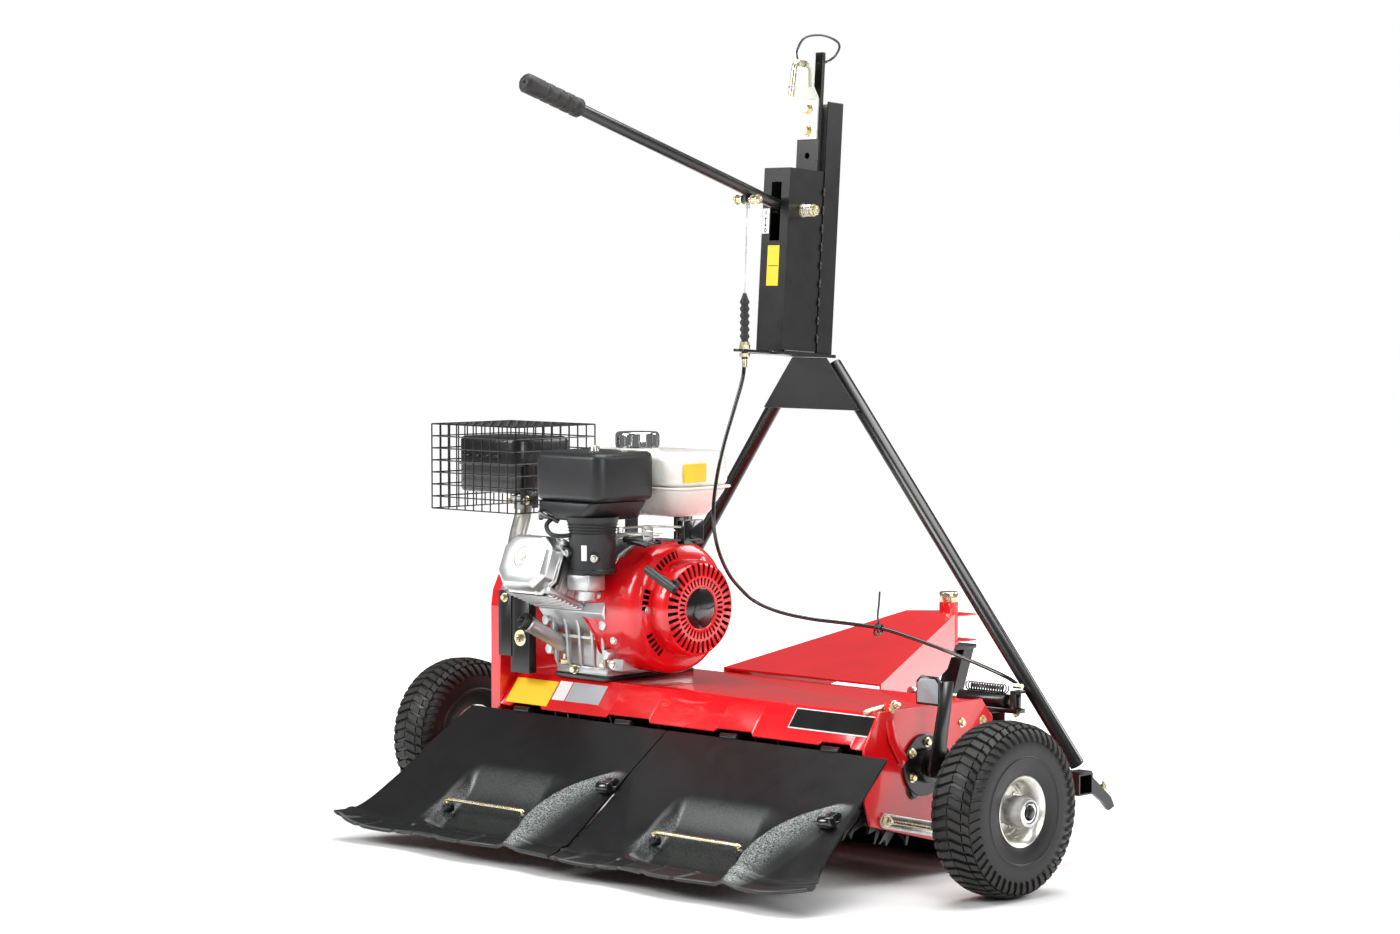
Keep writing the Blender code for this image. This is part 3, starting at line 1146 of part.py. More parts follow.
def build():
    for stray in list(bpy.data.objects):
        bpy.data.objects.remove(stray, do_unlink=True)
    machine = marker("machine")
    machine.location.y = FRAME_SHIFT
    deck = marker("deck_body", machine)
    deck_housing(deck)
    belt_cover(deck)
    gooseneck(deck)
    rear_crossbar(deck)

    lines = {side: marker(f"arm_{side}_axis", machine, (0.0, *ARM_PIVOT)) for side in ("left", "right")}
    for side, sign in (("left", -1), ("right", 1)):
        side_plate(deck, side)
        arm_bracket(deck, side)
        wheel_arm(lines[side], side)
        wheel(marker(f"wheel_{side}_axis", lines[side], (sign * WHEEL_X, 0.0, TYRE_R)), side)
        roller_arm(deck, side)
        hinge = marker(f"flap_{side}_axis", machine, (0.0, *FLAP_HINGE))
        flap(hinge, side)
        flap_handle(hinge, side)
    rear_roller(marker("roller_axis", machine, (0.0, ROLLER_Y, ROLLER_R)))

    rotor_line = marker("rotor_axis", machine, (0.0, ROTOR_Y, ROTOR_Z))
    rotor(rotor_line)
    pulley(rotor_line, "rotor_pulley", (ROTOR_Y, ROTOR_Z), ROTOR_PULLEY_R, ROTOR_SHAFT_R + GAP)
    crank_line = marker("crank_axis", machine, (0.0, CRANK_Y, CRANK_Z))
    crankshaft(crank_line)
    pulley(crank_line, "drive_pulley", (CRANK_Y, CRANK_Z), DRIVE_PULLEY_R, CRANK_R + GAP)
    drive_belt(deck)
    arm_line = marker("tensioner_axis", machine, (0.0, *TENSIONER_AT))
    tensioner(arm_line, marker("idler_axis", arm_line, (0.0, *IDLER_AT)))

    engine_base_plate(deck)
    crankcase(deck)
    head = marker("head_axis", deck, (0.0, CRANK_Y, CRANK_Z), -HEAD_TILT)
    cylinder_head(head)
    valve_cover(head)
    fan_shroud(deck)
    recoil_cover(deck)
    starter_handle(marker("starter_axis", deck, STARTER_AT))
    air_cleaner(deck)
    carburettor(deck)
    fuel_tank(deck)
    fuel_cap(marker("cap_axis", deck, (*CAP_AT, CAP_TOP)))
    exhaust_pipe(deck)
    muffler(deck)
    muffler_guard(deck)

    clutch(deck, marker("clutch_axis", deck, (PLUNGER_END, *CLUTCH_AXIS)))
    control_cable(deck)

    hitch = marker("hitch_axis", machine, (0.0, SWIVEL_Y, SWIVEL_TOP))
    for side in ("left", "right"):
        hitch_leg(hitch, side)
    gusset_plate(hitch)
    drawbar(hitch)
    pivot_pin(hitch)
    mast = marker("mast_axis", hitch, MAST_AT, -MAST_LEAN)
    mast_box(mast)
    mast_channel(mast)
    inner_bar(mast)
    top_bracket(mast)
    top_pin(mast)
    lever_bolt(hitch)
    lever = marker("lever_axis", hitch, LEVER_AT)
    hand_lever(lever)
    lever_grip(lever)
    inner_wire(hitch, cable_boot(hitch))


build()
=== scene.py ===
"""Looks of the brush mower: finer meshes, procedural materials, studio light and camera.

Shapes are drawn in the machine's own axes (origin on the ground midway between the wheels)
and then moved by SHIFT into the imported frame.
"""
import json
import math

import bmesh
import bpy
from mathutils import Matrix, Vector

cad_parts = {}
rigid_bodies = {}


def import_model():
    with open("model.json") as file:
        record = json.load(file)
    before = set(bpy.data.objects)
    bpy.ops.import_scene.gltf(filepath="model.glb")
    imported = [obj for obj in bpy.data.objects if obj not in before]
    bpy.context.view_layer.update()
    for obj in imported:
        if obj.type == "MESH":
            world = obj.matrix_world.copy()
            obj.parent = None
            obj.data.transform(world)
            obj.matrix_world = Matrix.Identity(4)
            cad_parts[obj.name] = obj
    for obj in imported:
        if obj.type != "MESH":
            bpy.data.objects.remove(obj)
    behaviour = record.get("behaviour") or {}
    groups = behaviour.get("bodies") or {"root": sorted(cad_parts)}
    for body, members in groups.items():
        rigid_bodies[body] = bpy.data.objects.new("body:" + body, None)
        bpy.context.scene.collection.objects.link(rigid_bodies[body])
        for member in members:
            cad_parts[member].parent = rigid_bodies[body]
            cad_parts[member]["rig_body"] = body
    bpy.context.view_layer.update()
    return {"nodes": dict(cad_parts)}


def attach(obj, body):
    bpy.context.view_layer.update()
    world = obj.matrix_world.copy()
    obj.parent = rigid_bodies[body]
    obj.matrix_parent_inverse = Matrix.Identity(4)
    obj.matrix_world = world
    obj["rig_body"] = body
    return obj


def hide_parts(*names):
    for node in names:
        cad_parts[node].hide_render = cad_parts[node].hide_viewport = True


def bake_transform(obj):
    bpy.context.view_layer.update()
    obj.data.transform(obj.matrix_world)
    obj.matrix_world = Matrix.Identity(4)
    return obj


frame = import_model()
NODES = frame["nodes"]

SHIFT = Matrix.Translation((0.0, -0.123, 0.0))
HEAD_AXES = Matrix.Translation((0.0, 0.020, 0.437)) @ Matrix.Rotation(math.radians(-22.0), 4, "X")
MAST_AXES = Matrix.Translation((0.0, 0.148, 0.907)) @ Matrix.Rotation(math.radians(-3.9), 4, "X")
ARM_PIVOT = (0.046, 0.198)
TYRE_R = 0.150
WHEEL_X = 0.6855
CRANK = (0.020, 0.437)
ROTOR_AXIS = (0.020, 0.157)
HEAD_X = -0.290                 # middle of the cylinder head
SIDE_X = 0.4652                 # outer face of the side plates
FEET_TOP = 0.3206               # top of the crankcase's feet
CLEANER_BOX = (Vector((-0.305, -0.163, 0.598)), Vector((-0.128, -0.0135, 0.724)))
CANISTER_AT = (-0.187, -0.122)
TANK_BOX = (Vector((-0.345, -0.012, 0.600)), Vector((-0.079, 0.150, 0.722)))
TANK_SEAM = 0.655
CAP_AT = (-0.235, 0.040)
GUARD_BOX = (Vector((-0.660, -0.100, 0.597)), Vector((-0.418, 0.108, 0.762)))
GUARD_CELLS = (10, 9, 7)
GUARD_WIRE_R = 0.0014
MUFFLER_BOX = (Vector((-0.628, -0.068, 0.632)), Vector((-0.446, 0.078, 0.738)))
FLANGE_AT = (-0.4623, -0.040)   # where the exhaust pipe meets the muffler
CABLE_R = 0.0035
CABLE_TIE_AT = Vector((0.186, 0.250, 0.401))
CLUTCH_AXIS = (0.270, 0.2885)
LEVER_AT = Vector((0.0, 0.204, 1.1645))


# ---------------------------------------------------------------- materials

def material(name, colour, roughness, metallic=0.0, spread=0.10, patch=9.0, grain=500.0, bump=0.05, coat=0.0,
             rough_spread=0.06, second=None, second_share=0.5, coat_roughness=0.06, depth=0.0004):
    """Principled surface with noise in its colour, its roughness and its fine relief."""
    made = bpy.data.materials.new(name)
    made.use_nodes = True
    nodes, links = made.node_tree.nodes, made.node_tree.links
    shader = nodes["Principled BSDF"]
    shader.inputs["Metallic"].default_value = metallic
    shader.inputs["Coat Weight"].default_value = coat
    shader.inputs["Coat Roughness"].default_value = coat_roughness
    place = nodes.new("ShaderNodeTexCoord")

    def noise(scale, detail):
        node = nodes.new("ShaderNodeTexNoise")
        node.inputs["Scale"].default_value = scale
        node.inputs["Detail"].default_value = detail
        links.new(place.outputs["Object"], node.inputs["Vector"])
        return node.outputs["Fac"]

    broad, fine = noise(patch, 5.0), noise(grain, 3.0)
    ramp = nodes.new("ShaderNodeValToRGB")
    other = second or tuple(channel * (1.0 + spread) for channel in colour)
    ramp.color_ramp.elements[0].position = 0.5 - 0.3 * second_share
    ramp.color_ramp.elements[1].position = 0.5 + 0.3 * second_share
    ramp.color_ramp.elements[0].color = (*[channel * (1.0 - spread) for channel in colour], 1.0)
    ramp.color_ramp.elements[1].color = (*other, 1.0)
    links.new(broad, ramp.inputs["Fac"])
    links.new(ramp.outputs["Color"], shader.inputs["Base Color"])
    span = nodes.new("ShaderNodeMapRange")
    span.inputs["To Min"].default_value = max(0.02, roughness - rough_spread)
    span.inputs["To Max"].default_value = roughness + rough_spread
    links.new(noise(patch * 3.1, 4.0), span.inputs["Value"])
    links.new(span.outputs["Result"], shader.inputs["Roughness"])
    relief = nodes.new("ShaderNodeBump")
    relief.inputs["Strength"].default_value = bump
    relief.inputs["Distance"].default_value = depth
    links.new(fine, relief.inputs["Height"])
    links.new(relief.outputs["Normal"], shader.inputs["Normal"])
    return made


# name: colour, roughness, metallic, and whatever differs from a plain surface
RECIPES = {
    "red_paint": ((0.72, 0.004, 0.008), 0.24, 0.0,
        dict(coat=0.7, spread=0.05, grain=260, bump=0.05, coat_roughness=0.04)),
    "black_paint": ((0.0045, 0.0045, 0.005), 0.30, 0.0,
        dict(coat=0.25, spread=0.2, grain=420, bump=0.10, coat_roughness=0.12)),
    "black_plastic": ((0.010, 0.0105, 0.012), 0.40, 0.0,
        dict(spread=0.12, grain=900, bump=0.35, depth=0.0003)),
    "flap_plastic": ((0.0045, 0.0047, 0.0055), 0.34, 0.0,
        dict(spread=0.15, grain=160, bump=0.10, rough_spread=0.08)),
    # light grey for the bead along the flaps' lips: a painted highlight on their front edge
    "flap_lip_painted_highlight": ((0.045, 0.050, 0.048), 0.36, 0.0, dict(spread=0.2, grain=400, bump=0.1)),
    "cast_aluminium": ((0.56, 0.57, 0.57), 0.40, 0.9,
        dict(spread=0.10, grain=700, bump=0.35, depth=0.0005, rough_spread=0.10)),
    "valve_silver": ((0.68, 0.69, 0.69), 0.36, 0.9, dict(spread=0.06, grain=900, bump=0.25, depth=0.0003)),
    "zinc": ((0.74, 0.73, 0.68), 0.30, 1.0, dict(spread=0.12, patch=60.0, grain=300, bump=0.08)),
    "pale_zinc": ((0.62, 0.63, 0.58), 0.34, 0.75, dict(spread=0.06, patch=40.0, grain=300, bump=0.06)),
    "brass_zinc": ((0.82, 0.66, 0.32), 0.28, 1.0,
        dict(spread=0.10, patch=70.0, grain=300, bump=0.06, second=(0.74, 0.72, 0.60))),
    "white_paint": ((0.84, 0.82, 0.76), 0.28, 0.0, dict(coat=0.35, spread=0.02, grain=300, bump=0.03)),
    "tyre": ((0.0085, 0.0083, 0.0080), 0.60, 0.0,
        dict(spread=0.35, patch=26.0, grain=380, bump=0.5, depth=0.0008, second=(0.018, 0.0165, 0.015))),
    "tyre_side": ((0.006, 0.006, 0.006), 0.44, 0.0, dict(spread=0.2, patch=30.0, grain=300, bump=0.15)),
    "rubber": ((0.010, 0.010, 0.010), 0.58, 0.0, dict(spread=0.2, grain=600, bump=0.3)),
    "steel": ((0.56, 0.56, 0.57), 0.32, 1.0, dict(spread=0.15, patch=30.0, grain=500, bump=0.1)),
    "hot_steel": ((0.42, 0.39, 0.35), 0.38, 0.9,
        dict(spread=0.25, patch=24.0, grain=400, bump=0.15, second=(0.55, 0.53, 0.50))),
    "chrome": ((0.88, 0.89, 0.90), 0.07, 1.0, dict(spread=0.02, rough_spread=0.02, grain=200, bump=0.01)),
    "black_gloss": ((0.006, 0.006, 0.006), 0.16, 0.0, dict(coat=0.6, spread=0.1, grain=300, bump=0.03)),
    # near-black: the valve gasket's own colour, and painted shade on the sheets behind the recoil and shroud
    # slots
    "dark": ((0.004, 0.004, 0.004), 0.75, 0.0, dict(spread=0.2, grain=300, bump=0.1)),
    "yellow_label": ((0.90, 0.58, 0.02), 0.38, 0.0, dict(spread=0.04, grain=500, bump=0.04, coat=0.2)),
    "white_label": ((0.82, 0.82, 0.80), 0.36, 0.0, dict(spread=0.04, grain=500, bump=0.04, coat=0.2)),
    "grey_label": ((0.52, 0.54, 0.57), 0.30, 0.4, dict(spread=0.05, grain=500, bump=0.04)),
    # grey for the painted reflection on the foot pedal's glossy front
    "painted_reflection_grey": ((0.34, 0.36, 0.38), 0.45, 0.0, dict(spread=0.12, grain=500, bump=0.6, depth=0.001)),
}
LOOKS = {name: material(name, *plain, **special) for name, (*plain, special) in RECIPES.items()}


def add_painted_sheen(look, colour):
    """Painted highlight: pale grey, speckled by a grain noise, mixed into the base colour as strongly as the
    mesh's per-vertex highlight attribute asks.
    """
    nodes, links = look.node_tree.nodes, look.node_tree.links
    shader = nodes["Principled BSDF"]
    amount = nodes.new("ShaderNodeAttribute")
    amount.attribute_name = "painted_sheen"
    place = nodes.new("ShaderNodeTexCoord")
    grain = nodes.new("ShaderNodeTexNoise")
    grain.inputs["Scale"].default_value = 420.0
    grain.inputs["Detail"].default_value = 2.0
    links.new(place.outputs["Object"], grain.inputs["Vector"])
    spots = nodes.new("ShaderNodeMapRange")
    spots.inputs["From Min"].default_value = 0.36
    spots.inputs["From Max"].default_value = 0.66
    links.new(grain.outputs["Fac"], spots.inputs["Value"])
    product = nodes.new("ShaderNodeMath")
    product.operation = "MULTIPLY"
    links.new(amount.outputs["Fac"], product.inputs[0])
    links.new(spots.outputs["Result"], product.inputs[1])
    mix = nodes.new("ShaderNodeMix")
    mix.data_type = "RGBA"
    base = shader.inputs["Base Color"].links[0].from_socket
    links.new(product.outputs[0], mix.inputs["Factor"])
    links.new(base, mix.inputs["A"])
    mix.inputs["B"].default_value = (*colour, 1.0)
    links.new(mix.outputs["Result"], shader.inputs["Base Color"])


# painted highlight on the flaps: pale grey on the ridge crests and scoop sides, a faint tint on the scoop
# floors
add_painted_sheen(LOOKS["flap_plastic"], (0.34, 0.37, 0.36))
SLOTS = {name: name for name in ("red_paint", "black_paint", "black_plastic", "cast_aluminium", "zinc",
                                 "brass_zinc",
                                 "white_paint", "rubber", "tyre", "steel", "chrome")}
SLOTS.update({"flap_plastic": "black_plastic", "flap_lip_painted_highlight": "black_plastic",
              "valve_silver": "cast_aluminium", "pale_zinc": "zinc", "tyre_side": "tyre",
              "hot_steel": "steel",
              "black_gloss": "black_plastic", "dark": "black_paint", "yellow_label": "white_paint",
              "white_label": "white_paint", "grey_label": "white_paint", "painted_reflection_grey": "rubber"})


# ---------------------------------------------------------------- mesh helpers

def on_axis(axis, along, u, v):
    return {"X": (along, u, v), "Y": (u, along, v), "Z": (u, v, along)}[axis]


def skin(sections, capped=True, closed=False):
    """A surface through equal rings of points, with flat ends or joined end to end."""
    shape = bmesh.new()
    rings = [[shape.verts.new(point) for point in ring] for ring in sections]
    pairs = list(zip(rings, rings[1:])) + ([(rings[-1], rings[0])] if closed else [])
    for one, two in pairs:
        for k in range(len(one)):
            j = (k + 1) % len(one)
            shape.faces.new((one[k], one[j], two[j], two[k]))
    if capped and not closed:
        shape.faces.new(rings[0])
        shape.faces.new(rings[-1])
    return shape


def prism(axis, outline, low, high):
    return skin([[on_axis(axis, along, u, v) for u, v in outline] for along in (low, high)])


def block(low, high):
    (x0, y0, z0), (x1, y1, z1) = low, high
    return prism("Z", ((x0, y0), (x1, y0), (x1, y1), (x0, y1)), z0, z1)


def circle(centre, radius, sides, start=0.0):
    turn = 2 * math.pi / sides
    return [(centre[0] + radius * math.cos(start + turn * k), centre[1] + radius * math.sin(start + turn * k))
            for k in range(sides)]


def turned(axis, centre, profile, sides=48, closed=False, capped=True):
    rings = [[on_axis(axis, along, u, v) for u, v in circle(centre, radius, sides)] for along,
             radius in profile]
    return skin(rings, closed=closed, capped=capped)


def swept(points, radius, sides=12):
    """A round bar along a path; radius may be a list with one value for each point."""
    path = [Vector(point) for point in points]
    radii = radius if isinstance(radius, (list, tuple)) else [radius] * len(path)
    legs = [(b - a).normalized() for a, b in zip(path, path[1:])]
    side = legs[0].orthogonal().normalized()
    rings = []
    for k, point in enumerate(path):
        along = (legs[min(k, len(legs) - 1)] + legs[max(k - 1, 0)]).normalized()
        side = (side - side.dot(along) * along).normalized()
        other = along.cross(side)
        rings.append([point + radii[k] * (math.cos(a) * side + math.sin(a) * other)
                      for a in (2 * math.pi * j / sides for j in range(sides))])
    return skin(rings)


def smooth_path(points, per_leg):
    ends = [Vector(point) for point in points]
    ends = [2 * ends[0] - ends[1]] + ends + [2 * ends[-1] - ends[-2]]
    made = []
    for a, b, c, d in zip(ends, ends[1:], ends[2:], ends[3:]):
        for k in range(per_leg):
            t = k / per_leg
            made.append(0.5 * (2 * b + (c - a) * t + (2 * a - 5 * b + 4 * c - d) * t ** 2
                               + (3 * b - a - 3 * c + d) * t ** 3))
    return made + [ends[-2]]


def coil(start, end, radius, turns, wire, sides=6):
    """A helical spring between two points."""
    a, b = Vector(start), Vector(end)
    along = (b - a).normalized()
    side = along.orthogonal().normalized()
    other = along.cross(side)
    per_turn = 14
    steps = int(turns * per_turn)
    path = []
    for k in range(steps + 1):
        turn = k * math.tau / per_turn
        path.append(a.lerp(b, k / steps) + radius * (math.cos(turn) * side + math.sin(turn) * other))
    return swept(path, wire, sides)


def gather(*shapes):
    """Several loose shapes as one."""
    whole = bmesh.new()
    for shape in shapes:
        spare = bpy.data.meshes.new("spare")
        shape.to_mesh(spare)
        shape.free()
        whole.from_mesh(spare)
        bpy.data.meshes.remove(spare)
    return whole


def toward(shape, at, direction):
    """Move a shape drawn along +Z to a place, pointing in a direction."""
    turn = Vector(direction).to_track_quat("Z", "Y").to_matrix().to_4x4()
    bmesh.ops.transform(shape, matrix=Matrix.Translation(at) @ turn, verts=shape.verts)
    return shape


def spun(profile, sides, at, direction):
    """A turned shape whose axis points in a direction; the profile is (height, radius) pairs."""
    return toward(turned("Z", (0, 0), profile, sides), at, direction)


def bolt(at, direction, across=0.013, height=0.007, washer=0.0095, stud=0.0):
    """Hexagon head with a chamfer, a washer under it and perhaps a stud end above it."""
    radius = across / math.sqrt(3)
    parts = [turned("Z", (0, 0), ((0.0015, radius), (height * 0.8, radius), (height, radius * 0.84)), 6),
             turned("Z", (0, 0), ((0.0, washer), (0.0012, washer), (0.0016, washer - 0.0006)), 20)]
    if stud:
        parts.append(turned("Z", (0, 0), ((height - 0.001, radius * 0.5),
                                          (height + stud - 0.001, radius * 0.5),
                                          (height + stud, radius * 0.38)), 12))
    return toward(gather(*parts), at, direction)


def capsule(a, b, radius, sides=12):
    heading = math.atan2(b[1] - a[1], b[0] - a[0])
    half = [math.pi * k / sides for k in range(sides + 1)]
    return [(a[0] + radius * math.cos(heading + math.pi / 2 + t),
             a[1] + radius * math.sin(heading + math.pi / 2 + t))
            for t in half] + [(b[0] + radius * math.cos(heading - math.pi / 2 + t),
                               b[1] + radius * math.sin(heading - math.pi / 2 + t)) for t in half]


def rounded_box(low, high, radius, sides=6):
    (x0, y0, z0), (x1, y1, z1) = low, high
    outline = []
    for cx, cy, start in ((x1 - radius, y1 - radius, 0), (x0 + radius, y1 - radius, 90),
                          (x0 + radius, y0 + radius, 180), (x1 - radius, y0 + radius, 270)):
        for k in range(sides + 1):
            turn = math.radians(start + 90 * k / sides)
            outline.append((cx + radius * math.cos(turn), cy + radius * math.sin(turn)))
    return prism("Z", outline, z0, z1)


def settle(made, angle):
    """Apply the modifiers and mark the edges that stay sharp."""
    if made.modifiers:
        graph = bpy.context.evaluated_depsgraph_get()
        baked = bpy.data.meshes.new_from_object(made.evaluated_get(graph), depsgraph=graph)
        made.modifiers.clear()
        made.data = baked
    made.data.shade_smooth()
    made.data.set_sharp_from_angle(angle=math.radians(angle))


def round_edges(made, width, segments=2, limit=32.0):
    step = made.modifiers.new("rounded", "BEVEL")
    step.width = width
    step.segments = segments
    step.limit_method = "ANGLE"
    step.angle_limit = math.radians(limit)
    step.miter_outer = "MITER_ARC"
    step.harden_normals = True


def piece(shape, name, body, look, axes=None, bevel=0.0, segments=2, angle=38.0, stands_for=(), thick=0.0,
          looks=(), blend=None):
    """Turn a bmesh into a finished piece that rides on a body; with blend it is left in place with no body.
    """
    if axes:
        bmesh.ops.transform(shape, matrix=axes, verts=shape.verts)
    bmesh.ops.transform(shape, matrix=SHIFT, verts=shape.verts)
    if not thick:
        bmesh.ops.recalc_face_normals(shape, faces=shape.faces)
    mesh = bpy.data.meshes.new(name)
    shape.to_mesh(mesh)
    shape.free()
    for each in (look, *looks):
        mesh.materials.append(LOOKS[each])
    made = bpy.data.objects.new(name, mesh)
    bpy.context.scene.collection.objects.link(made)
    if thick:
        step = made.modifiers.new("sheet", "SOLIDIFY")
        step.thickness = abs(thick)
        step.offset = -1.0 if thick > 0 else 1.0
    if bevel:
        round_edges(made, bevel, segments)
    settle(made, angle)
    if blend:
        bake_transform(made)
    else:
        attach(made, body)
    if stands_for:
        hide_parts(*stands_for)
    return made


def refine(node, look, width=0.0012, segments=2, angle=38.0, flat_from=None):
    """A CAD node's own shape with softened edges; faces over flat_from square metres are shaded flat."""
    shape = bmesh.new()
    shape.from_mesh(NODES[node].data)
    bmesh.ops.remove_doubles(shape, verts=shape.verts, dist=0.00002)
    bmesh.ops.dissolve_limit(shape, angle_limit=math.radians(1.0), verts=shape.verts, edges=shape.edges)
    mesh = bpy.data.meshes.new(node + "_finish")
    shape.to_mesh(mesh)
    shape.free()
    mesh.materials.clear()
    mesh.materials.append(LOOKS[look])
    made = bpy.data.objects.new(node + "_finish", mesh)
    bpy.context.scene.collection.objects.link(made)
    round_edges(made, width, segments)
    settle(made, angle)
    if flat_from:
        for face in made.data.polygons:
            if face.area > flat_from:
                face.use_smooth = False
    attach(made, NODES[node]["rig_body"])
    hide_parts(node)
    return made


def fasteners(name, body, look, heads, axes=None):
    """Bolt heads as one piece."""
    piece(gather(*heads), name, body, look, axes=axes, angle=25)


def blend01(value):
    """Smooth rise from 0 to 1."""
    value = max(0.0, min(1.0, value))
    return value * value * (3 - 2 * value)


# ---------------------------------------------------------------- wheels

def tyre(side):
    """Carcass and moulded turf blocks; u runs across the tread from inner to outer shoulder."""
    sign = 1 if side == "right" else -1
    centre = (0.0, TYRE_R)
    carcass = ((-0.036, 0.0565), (-0.0395, 0.060), (-0.044, 0.080), (-0.0462, 0.100), (-0.0458, 0.116),
               (-0.0425, 0.130), (-0.036, 0.1375), (-0.024, 0.1415), (-0.012, 0.1431), (0.0, 0.1436),
               (0.012, 0.1431), (0.024, 0.1415), (0.036, 0.1375), (0.0425, 0.130), (0.0458, 0.116),
               (0.0462, 0.100), (0.044, 0.080), (0.0395, 0.060), (0.036, 0.0565))
    body = turned("X", centre, [(sign * (WHEEL_X + x), r) for x, r in carcass], 96, closed=True)
    bands = [turned("X", centre, [(sign * (WHEEL_X + s * (x + d)), r) for x, r, d in (
        (0.0452, 0.088, 0.0), (0.0462, 0.090, 0.0006), (0.0464, 0.0915, 0.0006), (0.0450, 0.094, 0.0))], 96,
        closed=True) for s in (-1, 1)]
    piece(gather(body, *bands), f"tyre_{side}_carcass", f"wheel_{side}", "tyre_side", angle=60,
          stands_for=(f"tyre_{side}",))

    def crown(u, lift):
        """Point of the carcass surface at station u across, lifted outward, as (x, radius)."""
        line = [(-0.0458, 0.116), (-0.0425, 0.130), (-0.036, 0.1375), (-0.024, 0.1415), (0.0, 0.1436),
                (0.024, 0.1415), (0.036, 0.1375), (0.0425, 0.130), (0.0458, 0.116)]
        place = (u + 1) / 2 * (len(line) - 1)
        k = min(int(place), len(line) - 2)
        (x0, r0), (x1, r1) = line[k], line[k + 1]
        x, r = x0 + (x1 - x0) * (place - k), r0 + (r1 - r0) * (place - k)
        out = Vector((x * 0.9, r - 0.092)).normalized()
        return x + out.x * lift, r + out.y * lift

    pitches = 50
    rows = ((-0.98, -0.58, -0.10, 0.34, 0.58), (-0.53, -0.30, 0.66, 0.34, 0.62),
            (-0.26, -0.01, 0.45, 0.02, 0.58),
            (0.01, 0.26, 0.02, 0.45, 0.58), (0.30, 0.53, 0.34, 0.66, 0.62), (0.58, 0.98, 0.34, -0.10, 0.58))

    def spot(u, level, pitch):
        x, r = crown(u, level)
        turn = math.tau * pitch / pitches
        return sign * (WHEEL_X + x), r * math.cos(turn), TYRE_R + r * math.sin(turn)

    def shoulder_lug(k, u0, u1, lead0, lead1, width):
        """A long lug that follows the bend of the shoulder and narrows towards the side wall."""
        rings = []
        for step in range(5):
            u, lead = (a + (b - a) * step / 4 for a, b in ((u0, u1), (lead0, lead1)))
            lug = width if (step > 1 if u0 + u1 < 0 else step < 3) else width * 0.72
            rings.append([spot(u, level, k + lead + lug * share + grow) for share, level, grow in
                          ((0.0, -0.001, -0.05), (0.0, 0.0046, -0.0), (1.0, 0.0046, 0.0),
                           (1.0, -0.001, 0.05))])
        return skin(rings)

    def tread_block(k, u0, u1, lead0, lead1, width):
        """A slanted block with sides that widen towards the carcass."""
        middle = (u0 + u1) / 2
        top, low = ([spot(middle + (u - middle) * (1 + grow), level,
                          k + lead + (width + 2 * grow) * share - grow)
                     for u, lead in ((u0, lead0), (u1, lead1)) for share in (0.0, 1.0)]
                    for level, grow in ((0.0060, 0.0), (-0.001, 0.06)))
        shape = bmesh.new()
        tops = [shape.verts.new(p) for p in top]
        lows = [shape.verts.new(p) for p in low]
        order = (0, 1, 3, 2)
        shape.faces.new([tops[j] for j in order])
        for a, b in zip(order, order[1:] + order[:1]):
            shape.faces.new((tops[a], tops[b], lows[b], lows[a]))
        shape.faces.new([lows[j] for j in reversed(order)])
        return shape

    blocks = [(shoulder_lug if abs(row[0] + row[1]) > 1.0 else tread_block)(k, *row)
              for k in range(pitches) for row in rows]
    piece(gather(*blocks), f"tyre_{side}_tread", f"wheel_{side}", "tyre", angle=30)


